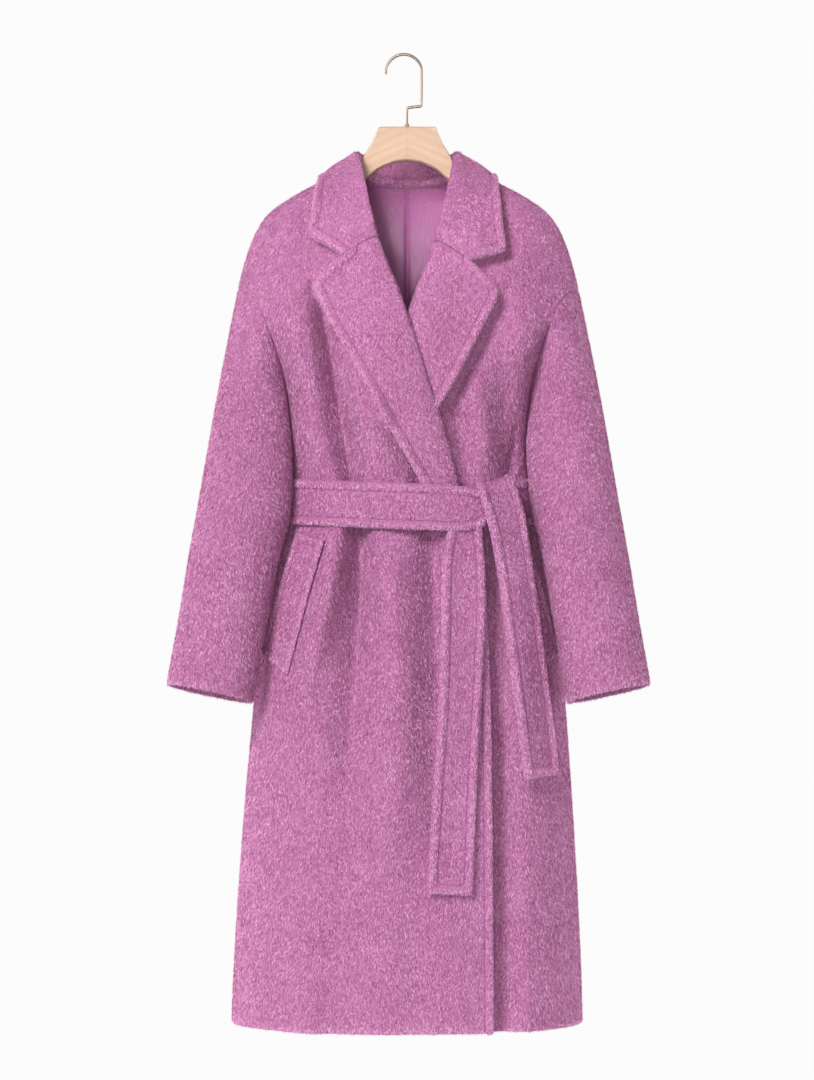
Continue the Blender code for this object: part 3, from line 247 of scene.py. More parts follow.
def beech():
    """Lacquered beech: long streaks, fine pores, and a glue joint at the centre."""
    made, tree, out = new_material("beech")
    place = add(tree, "TexCoord")
    apart = add(tree, "SeparateXYZ", links={"Vector": (place, "Object")})
    side = add(tree, "Math", {"operation": "ABSOLUTE"}, links={0: (apart, "X")})
    mirrored = add(tree, "CombineXYZ", links={"X": (side, "Value"), "Y": (apart, "Y"), "Z": (apart, "Z")})
    # Texture mapping turns before it stretches, so the streaks follow the turned axis.
    grain = add(tree, "Mapping", {"vector_type": "TEXTURE"},
                {"Rotation": (0, GRAIN_FALL, 0), "Scale": (GRAIN_LENGTH, 1.0, 1.0)},
                {"Vector": (mirrored, "Vector")})
    rings = add(tree, "TexNoise", values={"Scale": 1 / RING, "Detail": 3.0, "Distortion": 0.3},
                links={"Vector": (grain, "Vector")})
    pores = add(tree, "TexNoise", values={"Scale": 1 / PORE, "Detail": 1.0},
                links={"Vector": (grain, "Vector")})
    both = add(tree, "Math", {"operation": "MULTIPLY_ADD"}, {1: 0.3},
               {0: (pores, "Fac"), 2: (rings, "Fac")})
    ramp = add(tree, "ValToRGB", {"stops": ((0.4, "#C5A287"), (0.62, "#CFAE93"), (0.9, "#D9BAA0"))},
               links={"Fac": (both, "Value")})
    joint = add(tree, "MapRange", values={"From Min": GLUE_LINE, "From Max": GLUE_FADE, "To Min": 0.6},
                links={"Value": (side, "Value")})
    wood_colour = add(tree, "Mix", {"data_type": "RGBA", "blend_type": "MIX"}, {6: linear("#B98560")},
                      {0: (joint, "Result"), 7: (ramp, "Color")})
    rise = add(tree, "Bump", values={"Strength": 0.15, "Distance": 0.2 * MM},
               links={"Height": (pores, "Fac")})
    wood = add(tree, "BsdfPrincipled",
               values={"Roughness": 0.55, "Specular IOR Level": 0.3, "Coat Weight": 0.08,
                       "Coat Roughness": 0.4},
               links={"Base Color": (wood_colour, 2), "Normal": (rise, "Normal")})
    tree.links.new(wood.outputs["BSDF"], out.inputs["Surface"])
    return made


def steel():
    """Nickel-plated steel wire: a soft warm shine, faintly uneven where the wire was drawn."""
    made, tree, out = new_material("polished_steel")
    place = add(tree, "TexCoord")
    drawn = add(tree, "TexNoise", values={"Scale": 1 / DRAWN, "Detail": 2.0},
                links={"Vector": (place, "Object")})
    rough = add(tree, "MapRange", values={"To Min": 0.42, "To Max": 0.55},
                links={"Value": (drawn, "Fac")})
    metal = add(tree, "BsdfPrincipled", values={"Base Color": linear("#A89A8E"), "Metallic": 1.0},
                links={"Roughness": (rough, "Result")})
    tree.links.new(metal.outputs["BSDF"], out.inputs["Surface"])
    return made


lacquered_beech, plated_steel = beech(), steel()
print("materials:", lacquered_beech.name, plated_steel.name)

# %% [markdown]
# ## Folds, listed one by one
#
# Cloth this thick falls in few, wide, soft folds. Each one is a line of stations seen from the
# front, or from behind: where it runs, how far it reaches to either side, and how much it stands out
# of the cloth or sinks into it. The shift is along Y alone and depends on X and Z alone, so pieces
# that lie on one another move together and don't cross. Stiff and taut ones, such as the lapels and
# the ends of the belt, follow the ridges and span the troughs, and the belt itself stays flat.

# %% The folds of the front and the back
# One station: (x, z, half width, height) in millimetres. Height under 0 is a trough.
FRONT_FOLDS = {
    "trough from the lapel, under the belt and down": (
        (-119, -290, 14, 0), (-107, -345, 24, -26), (-93, -420, 26, -36), (-81, -490, 26, -38),
        (-73, -545, 25, -36), (-66, -590, 23, -35), (-61, -640, 25, -38), (-61, -700, 29, -36),
        (-66, -790, 35, -30), (-73, -900, 43, -20), (-79, -1020, 50, -8), (-82, -1140, 50, 0)),
    "ridge beside the right armhole": (
        (-166, -262, 24, 0), (-148, -330, 26, 6), (-134, -420, 28, 10), (-124, -500, 28, 11),
        (-118, -548, 22, 3), (-117, -560, 20, 0)),
    "ridge between trough and lapel": (
        (-66, -390, 20, 0), (-44, -450, 24, 6), (-28, -505, 24, 9), (-24, -548, 20, 2),
        (-24, -560, 18, 0)),
    "hollow below the lapel": (
        (-24, -470, 16, 0), (2, -510, 20, -12), (14, -545, 22, -16), (24, -590, 26, -18),
        (34, -680, 34, -22), (38, -800, 38, -22), (34, -930, 42, -15), (28, -1060, 46, 0)),
    "ridge above the knot": (
        (80, -410, 22, 0), (94, -460, 24, 6), (103, -505, 24, 10), (104, -548, 20, 2),
        (104, -560, 20, 0)),
    "notch above the belt": (
        (141, -470, 9, 0), (136, -508, 12, -9), (128, -548, 14, -13), (124, -590, 14, -9),
        (122, -630, 12, 0)),
    "ridge right of the pocket": (
        (-88, -606, 12, 0), (-90, -632, 16, 9), (-94, -665, 22, 20), (-109, -735, 28, 20),
        (-134, -815, 34, 11), (-160, -940, 38, 0)),
    "broad ridge of the right front": (
        (-24, -616, 22, 0), (-18, -690, 30, 10), (-12, -800, 36, 10), (-18, -940, 44, 7),
        (-34, -1100, 50, 5), (-36, -1250, 52, 4)),
    "low ridge at the right hem": ((-118, -980, 34, 0), (-124, -1100, 42, 7), (-130, -1250, 44, 8)),
    "ridge of the left front": (
        (132, -616, 22, 0), (142, -690, 28, 9), (152, -820, 32, 10), (157, -980, 36, 8),
        (160, -1240, 40, 6)),
    "trough of the left front": (
        (112, -800, 20, 0), (119, -920, 26, -8), (124, -1080, 30, -7), (127, -1240, 34, -5)),
}
# Each front lies back a little from the edges that close over it.
UNDER_FOLDS = {
    "front_left": {
        "hollow beside the left lapel": (
            (136, -290, 14, 0), (118, -330, 22, -8), (90, -386, 28, -10), (58, -450, 28, -13),
            (72, -520, 26, -9), (80, -590, 24, 0)),
        "hollow beside the left collar": (
            (124, -180, 16, 0), (130, -225, 22, -8), (128, -262, 24, -10), (96, -278, 20, -7),
            (80, -284, 16, 0)),
        "full chest": (
            (150, -310, 26, 0), (152, -385, 36, 13), (150, -440, 32, 11), (144, -496, 22, 0)),
        "hollow behind the overlap": (
            (112, -590, 20, -8), (114, -700, 28, -13), (115, -900, 30, -14), (116, -1250, 30, -14)),
    },
    "front_right": {
        "hollow beside the right lapel": (
            (-126, -292, 14, 0), (-122, -312, 18, -8), (-98, -362, 20, -8), (-62, -430, 22, -9),
            (-22, -500, 22, -6), (-2, -540, 18, 0)),
        "cloth beside the pocket welt": (
            (-95, -618, 8, 0), (-99, -636, 10, 3), (-145, -796, 10, 3), (-150, -814, 8, 0)),
        "hollow beside the right collar": (
            (-124, -180, 16, 0), (-132, -212, 20, -7), (-128, -244, 22, -9), (-100, -258, 20, -7),
            (-86, -262, 16, 0)),
    },
}
BACK_FOLDS = {
    "left shoulder blade": (
        (96, -300, 40, 0), (90, -380, 44, 7), (80, -470, 40, 8), (72, -545, 30, 2), (72, -560, 28, 0)),
    "right shoulder blade": (
        (-92, -310, 40, 0), (-86, -400, 42, 8), (-82, -480, 38, 9), (-78, -545, 30, 2),
        (-78, -560, 28, 0)),
    "hollow of the spine": (
        (4, -330, 36, 0), (6, -430, 36, -10), (4, -520, 30, -13), (5, -600, 26, -12),
        (6, -680, 30, -12), (2, -820, 34, -13), (-2, -1020, 40, -8), (-4, -1250, 44, -6)),
    "left fold below the belt": (
        (60, -616, 20, 0), (64, -670, 26, 11), (74, -800, 32, 13), (84, -1000, 38, 10),
        (92, -1250, 42, 8)),
    "right fold below the belt": (
        (-52, -616, 20, 0), (-56, -680, 26, 12), (-66, -820, 32, 12), (-72, -1010, 36, 10),
        (-78, -1250, 42, 7)),
    "left side trough": (
        (112, -560, 20, -6), (114, -610, 22, -9), (120, -720, 26, -12), (130, -900, 30, -8),
        (136, -1100, 34, 0)),
    "right side trough": (
        (-98, -470, 20, 0), (-102, -545, 22, -9), (-104, -610, 22, -11), (-112, -740, 26, -12),
        (-118, -940, 30, -8), (-122, -1120, 34, 0)),
}
FAR = 1e9  # further than anything on the coat
ROUND_SHARE = 0.3  # how much of a trough is as round as a ridge; the rest closes up more sharply


def fold_height(x, z, folds):
    """How far the points (x, z) stand out, all folds together."""
    total = np.zeros(len(x))
    for stations in folds.values():
        stops = np.array(stations) * MM
        nearest = np.full(len(x), FAR)
        height = np.zeros(len(x))
        for here, there in zip(stops[:-1], stops[1:]):
            run = there[:2] - here[:2]
            share = ((x - here[0]) * run[0] + (z - here[1]) * run[1]) / (run @ run)
            share = np.clip(share, 0, 1)
            off = np.hypot(x - here[0] - share * run[0], z - here[1] - share * run[1])
            reach = here[2] + share * (there[2] - here[2])
            rise = here[3] + share * (there[3] - here[3])
            closer = off < nearest
            nearest = np.where(closer, off, nearest)
            out = np.minimum(off / reach, 1)
            ridge = 0.5 + 0.5 * np.cos(np.pi * out)
            trough = ROUND_SHARE * ridge + (1 - ROUND_SHARE) * (1 - out) ** 2
            height = np.where(closer, rise * np.where(rise > 0, ridge, trough), height)
        total += height
    return total


print("folds:", len(FRONT_FOLDS), "at the front,", len(BACK_FOLDS), "at the back,",
      sum(len(folds) for folds in UNDER_FOLDS.values()), "under the edges")

# %% [markdown]
# ## From a solid to a cloth shell
#
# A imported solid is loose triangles. Merging its points and joining the triangles in pairs gives back
# the squares that the surface was drawn with, and a subdivision surface needs those to flow evenly.
# The square rim of each wall is bevelled first: subdivision alone would draw the edge inwards, and
# the two bevelled lines hold it in place and make it round, like a turned and pressed edge.


# %% Copy a solid, and find its two skins
MERGE = 0.001 * MM  # points this close are one


def merged_copy(node):
    """A bmesh of a node's mesh, its points merged and its triangles joined into squares."""
    form = bmesh.new()
    form.from_mesh(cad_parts[node].data)
    bmesh.ops.remove_doubles(form, verts=form.verts, dist=MERGE)
    bmesh.ops.join_triangles(form, faces=form.faces, angle_face_threshold=radians(60),
                             angle_shape_threshold=radians(90))
    return form


def bevelled(form, edges, offset, segments):
    """Rounds or flattens edges of a form."""
    bmesh.ops.bevel(form, geom=edges, offset=offset, offset_type="OFFSET", segments=segments,
                    profile=0.5, affect="EDGES", material=-1, clamp_overlap=True)


def skins(form, sharp):
    """The faces of a form in groups, parted at its sharp edges, the largest first."""
    sharp, left, groups = set(sharp), set(form.faces), []
    while left:
        group, todo = set(), [left.pop()]
        while todo:
            face = todo.pop()
            group.add(face)
            for edge in face.edges:
                if edge not in sharp:
                    for other in edge.link_faces:
                        if other in left:
                            left.remove(other)
                            todo.append(other)
        groups.append(group)
    return sorted(groups, key=lambda g: -sum(f.calc_area() for f in g))


def outward(group, centre):
    """How much a group of faces looks away from an upright line through centre."""
    total = 0
    for face in group:
        away = face.calc_center_median() - centre
        away.z = 0
        total += away.normalized() @ face.normal * face.calc_area()
    return total


print("a merged copy of the collar:", len(merged_copy("collar").faces), "faces")


# %% Round its edges and subdivide it
EDGE_SHARE = 0.36  # how far in the rim's bevel lies, as a share of the wall
WALL_EDGE, CHAMFERED_EDGE = radians(55), radians(42)  # the belt's solid is chamfered already


def subdivided(made, levels):
    """Gives an object a subdivision surface."""
    smooth = made.modifiers.new("Subdivision", "SUBSURF")
    smooth.levels = smooth.render_levels = levels


def rounded_shell(node, wall, levels, centre):
    """A smooth closed shell of a node. Material 0 is its outer face and rim, 1 its inner face.
    Also gives the rim's outer edges as pairs of points."""
    form = merged_copy(node)
    bend = CHAMFERED_EDGE if node == "belt_band" else WALL_EDGE
    sharp = [e for e in form.edges if e.is_manifold and e.calc_face_angle() > bend]
    groups = skins(form, sharp)[:2]
    middle = centre if centre is not None else sum(
        (f.calc_center_median() for f in form.faces), Vector()) / len(form.faces)
    outer, inner = sorted(groups, key=lambda g: -outward(g, middle))
    for face in inner:
        face.material_index = 1
    rim = np.array([[v.co[:] for v in e.verts] for e in sharp if any(f in outer for f in e.link_faces)])
    bevelled(form, sharp, EDGE_SHARE * wall, segments=1)
    mesh = bpy.data.meshes.new(node + "_form")
    form.to_mesh(mesh)
    form.free()
    draft = bpy.data.objects.new(node + "_draft", mesh)
    bpy.context.scene.collection.objects.link(draft)
    subdivided(draft, levels)
    made = bpy.data.meshes.new_from_object(draft.evaluated_get(bpy.context.evaluated_depsgraph_get()))
    bpy.data.objects.remove(draft)
    bpy.data.meshes.remove(mesh)
    return made, rim


# %% [markdown]
# ## Arrays instead of single points
#
# The shells together have some 150,000 points, far too many to move one by one. Blender hands over
# a whole mesh as one flat list of numbers, numpy works on all of them at once, and the list goes back.


# %% Read and move the points of a mesh
def points_of(mesh):
    """A mesh's points as an array."""
    flat = np.empty(len(mesh.vertices) * 3)
    mesh.vertices.foreach_get("co", flat)
    return flat.reshape(-1, 3)


def normals_of(mesh):
    """The directions that a mesh's points face, as an array."""
    flat = np.empty(len(mesh.vertices) * 3)
    mesh.vertex_normals.foreach_get("vector", flat)
    return flat.reshape(-1, 3)


def triangles_of(mesh):
    """A mesh's triangles: their three points, the face each is part of, and their areas."""
    mesh.calc_loop_triangles()
    size = len(mesh.loop_triangles)
    corners, owner, area = np.empty(size * 3, int), np.empty(size, int), np.empty(size)
    mesh.loop_triangles.foreach_get("vertices", corners)
    mesh.loop_triangles.foreach_get("polygon_index", owner)
    mesh.loop_triangles.foreach_get("area", area)
    return corners.reshape(-1, 3), owner, area


def set_points(mesh, points):
    """Moves a mesh's points."""
    mesh.vertices.foreach_set("co", np.asarray(points, dtype=np.float32).ravel())
    mesh.update()


def set_numbers(mesh, name, numbers):
    """Keeps one number on each point, for the materials and the later steps."""
    mesh.attributes.new(name, "FLOAT", "POINT").data.foreach_set("value", numbers.astype(np.float32))


def shade_smooth(mesh):
    """Lets light run smoothly over every face."""
    mesh.polygons.foreach_set("use_smooth", np.ones(len(mesh.polygons), bool))


print("the hanger's wood has", len(points_of(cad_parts["hanger_body"].data)), "points")

# %% [markdown]
# ## Where the edges are sewn down
#
# Topstitching holds the free edges flat, not the seams. Each stretch is picked out by where it lies,
# with one small test for each piece that isn't sewn all round.


# %% The stitched edges
def all_round(x, y, z):
    """Topstitched along every edge."""
    return True


def right_front_edge(x, y, z):
    """From under the belt to the hem, along the edge that laps over."""
    return x > 0.085 and -1.243 < z < -0.56


def collar_edge(x, y, z):
    """The free edge of the fall and its two ends, not the roll."""
    return abs(x) > 0.076 or (y > 0.02 and z < -0.150)


def right_lapel_edge(x, y, z):
    """The outer edge and the step at the notch, not the roll or the gorge seam."""
    return x < min(-0.045 - (z + 0.24) * 0.285, -0.078 if z > -0.265 else 1)


def left_lapel_edge(x, y, z):
    """The same on the lapel that lies beneath."""
    return x > max(0.060 + (z + 0.26) * 0.25, 0.083 if z > -0.275 else -1)


def right_welt_edges(x, y, z):
    """The top, outer and lower edge, not the one that the pocket opens behind."""
    return x < -0.1068 + (z + 0.631) * 0.2793


print("the hem's corner is stitched:", right_front_edge(0.12, -0.12, -1.20))

# %% [markdown]
# ## What each piece needs
#
# One row for each cloth piece: its node and its own name, the thickness of its wall in mm, whether it
# hangs at the front, at the back or runs round, the size it was cut to, its area where that isn't a
# rectangle, which stretch of its edge is topstitched, how far the nap swings in degrees, how far that
# edge stands off in mm, and how often its squares are halved.

# %% The table of the cut
Cut = namedtuple("Cut", "node name wall side flat area stitched swirl lift levels")
CUTS = (
    Cut("front_right", "right_front", 3, "front", (0.43, 1.15), 0.370, right_front_edge, 24, 5, 2),
    Cut("front_left", "left_front", 3, "front", (0.42, 1.15), 0.366, None, 24, 0, 2),
    Cut("back", "back_panel", 3, "back", (0.56, 1.12), 0.540, None, 24, 0, 1),
    Cut("sleeve_right", "right_sleeve", 3, "round", (0.42, 0.50), 0.160, None, 34, 0, 1),
    Cut("sleeve_left", "left_sleeve", 3, "round", (0.42, 0.50), 0.158, None, 34, 0, 1),
    Cut("collar", "notched_collar", 5, "front", (0.62, 0.13), 0.057, collar_edge, 60, 7, 2),
    Cut("lapel_right", "right_lapel", 5, "front", (0.17, 0.42), 0.030, right_lapel_edge, 50, 6, 2),
    Cut("lapel_left", "left_lapel", 5, "front", (0.15, 0.36), 0.021, left_lapel_edge, 50, 9, 2),
    Cut("pocket_right", "right_pocket_welt", 3, "front", (0.055, 0.19), None, right_welt_edges, 30, 2.5, 2),
    Cut("pocket_left", "left_pocket_welt", 3, "front", (0.055, 0.19), None, all_round, 30, 0.5, 2),
    Cut("belt_band", "belt_round_waist", 5, "round", (0.87, 0.057), None, all_round, 40, 0, 2),
    Cut("belt_tail_long", "belt_long_tail", 5, "front", (0.057, 0.47), None, all_round, 30, 4, 2),
    Cut("belt_tail_short", "belt_short_tail", 5, "front", (0.057, 0.40), None, all_round, 30, 4, 2),
    Cut("lining_back", "lining_with_pleat", 1, "back", (0.20, 0.36), None, None, 0, 0, 3),
)
BRIDGING = {"collar", "lapel_right", "lapel_left", "belt_tail_long", "belt_tail_short"}
LINED = {"front_right", "front_left", "back", "sleeve_right", "sleeve_left"}
print("cut:", len(CUTS), "pieces of cloth,", len(LINED), "of them lined")

# %% [markdown]
# ## Dressing a shell
#
# Four things shape each shell: the folds, the soft roll beyond the topstitching with the channel that
# the thread pulls, the lift of a free edge, and for the lining its own pleat. Every point needs to
# know how far it is from the stitched edge, so that is worked out first and kept on the mesh.


# %% Distances and shares
def edge_distance(points, rim, chosen):
    """How far each point is from the chosen stretch of a rim."""
    nearest = np.full(len(points), 1.0)
    for here, there in rim:
        if chosen and chosen(*(here + there) / 2):
            run = there - here
            share = np.clip(((points - here) @ run) / max(run @ run, 1e-12), 0, 1)
            off = np.linalg.norm(points - here - share[:, None] * run, axis=1)
            nearest = np.minimum(nearest, off)
    return nearest


def smooth_step(low, high, values):
    """0 below low, 1 above high, and a soft rise between."""
    share = np.clip((values - low) / (high - low), 0, 1)
    return share * share * (3 - 2 * share)


def front_share(points, side):
    """1 for points that move with the front's folds, 0 for the back's, and between at the sides."""
    if side != "round":
        return np.full(len(points), float(side == "front"))
    rows = np.round(points[:, 2] / (20 * MM)).astype(int)
    share = np.empty(len(points))
    for row in np.unique(rows):
        here = rows == row
        low, high = points[here, 1].min(), points[here, 1].max()
        share[here] = (high - points[here, 1]) / max(high - low, MERGE)
    return share * share * (3 - 2 * share)


print("half way up a soft step:", smooth_step(0, 1, np.array([0.5]))[0])

# %% The lining's pleat, and all folds of a piece
PLEAT_TOP, PLEAT_OPEN = -0.17, -0.36  # the pleat opens between these heights
PLEAT_WIDTH, PLEAT_CREASE = 14 * MM, 2.2 * MM


def lining_folds(x, z):
    """How far the lining stands off the back: a centre pleat that opens downwards, and slack folds
    beside it. It never sinks into the back."""
    down = smooth_step(PLEAT_TOP, PLEAT_OPEN, z)
    pleat = (1.5 * MM + 5 * MM * down) * (np.where(x > 0, 0, np.exp(x / PLEAT_WIDTH)) + 1.2)
    pleat *= 1 - np.exp(-((x / PLEAT_CREASE) ** 4))
    slack = 2 * MM * (1 + np.sin(x / (7 * MM) + 9 * z)) * down
    return pleat + slack * smooth_step(4 * MM, PLEAT_WIDTH, np.abs(x))


def fold_shift(cut, points):
    """How far all its folds move the points of a piece along Y."""
    if cut.node == "belt_band":
        return np.zeros(len(points))  # pulled tight
    x, _, z = points.T
    fold = fold_height(x, z, FRONT_FOLDS)
    if cut.node in BRIDGING:
        fold = np.maximum(fold, 0)  # taut or stiff pieces span a trough
    fold = fold + fold_height(x, z, UNDER_FOLDS.get(cut.node, {}))
    front = front_share(points, cut.side)
    shift = (1 - front) * fold_height(x, z, BACK_FOLDS) - front * fold
    return shift - lining_folds(x, z) if cut.node == "lining_back" else shift


deepest = lining_folds(np.array([-3 * MM]), np.array([-0.4]))[0]
print("low down, the pleat stands", round(deepest / MM, 1), "mm off the back")

# %% Dress a shell
CHANNEL_DEPTH, CHANNEL_WIDTH = 0.7 * MM, 2.2 * MM  # the groove that the thread pulls
ROLL_SHARE = 0.45  # how much a turned edge swells beyond it, as a share of the wall
LIFT_REACH = 16 * MM  # how far in a free edge's lift is felt
TURNED_UP = 38 * MM  # the wool inside cuffs and hem, before the lining starts
CUFF_ZONE, HEM_ZONE = -0.70, -1.15  # only below these heights


def dressed_mesh(cut):
    """The shell of one cloth piece with its folds and the soft channel of its topstitching."""
    centre = None if cut.side == "round" and cut.node != "belt_band" else Vector((0, 0, 0))
    mesh, rim = rounded_shell(cut.node, cut.wall * MM, cut.levels, centre)
    points = points_of(mesh)
    distance = edge_distance(points, rim, cut.stitched)
    from_rim = edge_distance(points, rim, all_round)
    channel = -CHANNEL_DEPTH * np.exp(-(((distance - STITCH_INSET) / CHANNEL_WIDTH) ** 2))
    roll = ROLL_SHARE * cut.wall * MM * np.sin(np.pi * np.clip(distance / STITCH_INSET, 0, 1))
    points = points + normals_of(mesh) * (channel + roll)[:, None]
    x, y, z = points.T.copy()
    lift = cut.lift * MM * np.exp(-distance / LIFT_REACH) * smooth_step(-0.01, 0.03, -y)
    points[:, 1] += fold_shift(cut, points) - lift
    if cut.node.startswith("sleeve"):
        # The sleeve's inner side rests against the body and closes the view between them.
        beside = smooth_step(-0.36, -0.40, z) * smooth_step(-0.66, -0.58, z)
        beside *= smooth_step(0.19, 0.16, np.abs(x))
        points[:, 0] -= np.sign(x) * 4 * MM * beside
    set_points(mesh, points)
    set_numbers(mesh, "edge_distance", distance)
    set_numbers(mesh, "rim_distance", from_rim)
    if cut.node in LINED:
        near = (from_rim < TURNED_UP) & (z < (CUFF_ZONE if cut.side == "round" else HEM_ZONE))
        for face in mesh.polygons:
            if face.material_index and all(near[v] for v in face.vertices):
                face.material_index = 0
    return mesh


print("wool turned up inside hem and cuffs:", round(TURNED_UP / MM), "mm")

# %% [markdown]
# ## Making the cloth pieces
#
# Each piece becomes one object that takes its solid's place. Outside it is wool. Inside, the fronts,
# back and sleeves are lined with satin, down to the wool that is turned up at the hem and the cuffs.


# %% Cloth pieces
def place(mesh, name, materials, slot):
    """A finished mesh as an object that rides on the coat's one body."""
    made = bpy.data.objects.new(name, mesh)
    bpy.context.scene.collection.objects.link(made)
    for material in materials:
        mesh.materials.append(material)
    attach(made, "root")
    return made


cloth = {}
for cut in CUTS:
    mesh = dressed_mesh(cut)
    shade_smooth(mesh)
    if cut.node == "lining_back":
        materials, slot = (lining_satin, lining_satin), "lining_satin"
    else:
        materials = (brushed_wool, lining_satin if cut.node in LINED else brushed_wool)
        slot = "brushed_wool"
    cloth[cut.node] = place(mesh, cut.name, materials, slot)
    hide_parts(cut.node)
print("shells:", sum(len(o.data.polygons) * 2 for o in cloth.values()), "triangles")

# %% [markdown]
# ## The brushed pile
#
# A real pile is millions of fibres. What the eye reads is their locks, so each lock is one small
# blade, a triangle 1.2 mm wide at its root in the cloth and 4.2 mm long, with its tip a little off it.
# Blades are scattered evenly over the outside by area, lie downwards with a slow swirl, and each is
# rolled a little about its length, so every one takes the light differently. They are short along the
# topstitching, where the thread presses the pile away, paler on a turned edge as a painted highlight,
# where the pile stands up and catches the light, and left out wherever another piece covers the cloth.

# %% Scatter the roots
USUAL_LOCKS_PER_M2 = 330000
# the largest piece, which has to stay well under 200,000 triangles
LOCKS_PER_M2 = {"back": 300000}  # the largest piece, scattered a little thinner
SWIRL_SIZE = 11 * MM
LOOK_FROM, LOOK_REACH = 1.2 * MM, 5 * MM  # another layer in this stretch above the cloth covers it
chance = np.random.default_rng(7)


def unit(vectors):
    """The same directions, one long."""
    return vectors / np.linalg.norm(vectors, axis=1)[:, None]


def swirl(points):
    """A slow wandering of the nap's direction, from -1 to 1."""
    x, y, z = points.T / SWIRL_SIZE
    return (np.sin(0.31 * x + 0.17 * z + 1.3) + np.sin(0.23 * z - 0.41 * x + 0.5 * y)
            + np.sin(0.83 * x + 0.57 * z + 0.7) * 0.8 + np.sin(0.71 * z - 0.66 * x + 2.1) * 0.8) / 3.6


def scattered(mesh, count, mask):
    """Random places on the faces that mask allows: points, normals, distances from the stitched edge
    and from any edge."""
    corners, owner, area = triangles_of(mesh)
    area = area * mask[owner]
    chosen = corners[chance.choice(len(corners), count, p=area / area.sum())]
    a, b = chance.random((2, count))
    over = a + b > 1
    a, b = np.where(over, 1 - a, a), np.where(over, 1 - b, b)
    shares = np.stack((1 - a - b, a, b), axis=1)[..., None]
    distances = np.empty((2, len(mesh.vertices)))
    for row, name in zip(distances, ("edge_distance", "rim_distance")):
        mesh.attributes[name].data.foreach_get("value", row)
    return ((points_of(mesh)[chosen] * shares).sum(1), unit((normals_of(mesh)[chosen] * shares).sum(1)),
            *((row[chosen] * shares[..., 0]).sum(1) for row in distances))


def cover_tree():
    """One search tree over every shell."""
    corners, faces, start = [], [], 0
    for piece in cloth.values():
        mesh = piece.data
        corners.append(points_of(mesh))
        faces.extend([[start + v for v in p.vertices] for p in mesh.polygons])
        start += len(mesh.vertices)
    return BVHTree.FromPolygons(np.concatenate(corners).tolist(), faces)


def covered(points, normals):
    """True where another layer lies over the cloth."""
    return np.array([all_cloth.ray_cast(Vector(p + n * LOOK_FROM), Vector(n), LOOK_REACH)[0] is not None
                     for p, n in zip(points, normals)], bool)


all_cloth = cover_tree()
print("each lock has about", round(1e6 / USUAL_LOCKS_PER_M2, 1), "mm2 of cloth to itself")

# %% Lay the locks
LOCK_LENGTH, LOCK_REACH, LOCK_LIFT = 4.2 * MM, 0.6 * MM, 1.6 * MM
ROOT_DEPTH = 0.1 * MM  # how far a root sits in the cloth
BARE_LINE = 0.6 * MM  # no lock starts this close to the stitch line
PRESSED = 3.5 * MM  # and it is shorter this close
SHORT_EDGE = 9 * MM  # locks are shorter this close to any edge
EDGE_HIGHLIGHT = 7 * MM  # and lighter this close to a turned one, as a painted highlight
CUFF_END, HEM_END = -0.78, -1.215  # below these heights an edge is turned, sewn or not
SCATTER, ROLL = 16, 45  # degrees


def joined_mesh(name, points, corners):
    """One mesh of many triangles, from arrays of points and of each triangle's three corners."""
    made = bpy.data.meshes.new(name)
    made.vertices.add(points.size // 3)
    made.loops.add(len(corners))
    made.polygons.add(len(corners) // 3)
    made.vertices.foreach_set("co", points.astype(np.float32).ravel())
    made.loops.foreach_set("vertex_index", corners.astype(np.int32))
    made.polygons.foreach_set("loop_start", np.arange(0, len(corners), 3, dtype=np.int32))
    made.update(calc_edges=True)
    return made


def woolly(mesh):
    """1 for the faces of a mesh that are wool, 0 for satin ones."""
    slots = np.empty(len(mesh.polygons), int)
    mesh.polygons.foreach_get("material_index", slots)
    return ((slots == 0) | (mesh.materials[0] == mesh.materials[1])).astype(float)


def pile_on(piece, name, swing, per_m2):
    """The pile of one piece as a mesh of blades."""
    mask = woolly(piece.data)
    areas = np.empty(len(mask))
    piece.data.polygons.foreach_get("area", areas)
    roots, normals, distance, from_rim = scattered(piece.data, int(per_m2 * (areas * mask).sum()), mask)
    off_line = np.abs(distance - STITCH_INSET)
    end = CUFF_END if "sleeve" in name else HEM_END
    turned = np.minimum(distance, np.where(roots[:, 2] < end, from_rim, 1))
    keep = (off_line > BARE_LINE) & ~covered(roots, normals)
    roots, normals, from_rim, off_line, turned = (
        row[keep] for row in (roots, normals, from_rim, off_line, turned))
    count = len(roots)
    down = unit(np.array((0, 1e-4, -1.0)) + normals * normals[:, 2:3])
    angle = np.radians(swing * swirl(roots) + SCATTER * chance.standard_normal(count))[:, None]
    along = np.cos(angle) * down + np.sin(angle) * np.cross(normals, down)
    roll = np.radians(chance.uniform(-ROLL, ROLL, count))[:, None]
    across = np.cos(roll) * np.cross(normals, along) + np.sin(roll) * normals
    shorter = np.clip(0.4 + from_rim / SHORT_EDGE, 0, 1) * np.clip(off_line / PRESSED, 0.4, 1)
    length = LOCK_LENGTH * (chance.uniform(0.6, 1.3, count) * shorter)[:, None]
    reach = LOCK_REACH * chance.uniform(0.6, 1.3, count)[:, None]
    lift = LOCK_LIFT * (chance.uniform(0.3, 1.3, count) * shorter)[:, None]
    sunk = roots - normals * ROOT_DEPTH
    points = np.stack((sunk - across * reach, sunk + across * reach,
                       roots + along * length + normals * lift), axis=1)
    made = joined_mesh(name, points, np.arange(count * 3))
    set_numbers(made, "tip", np.tile((0, 0, 1), count))
    # Each lock's random tone, plus a painted highlight close to a turned edge.
    light = 0.02 + 0.74 * chance.random(count) + 0.36 * np.exp(-((turned / EDGE_HIGHLIGHT) ** 2))
    set_numbers(made, "lock", np.repeat(light, 3))
    return place(made, name, (wool_pile,), "brushed_wool")


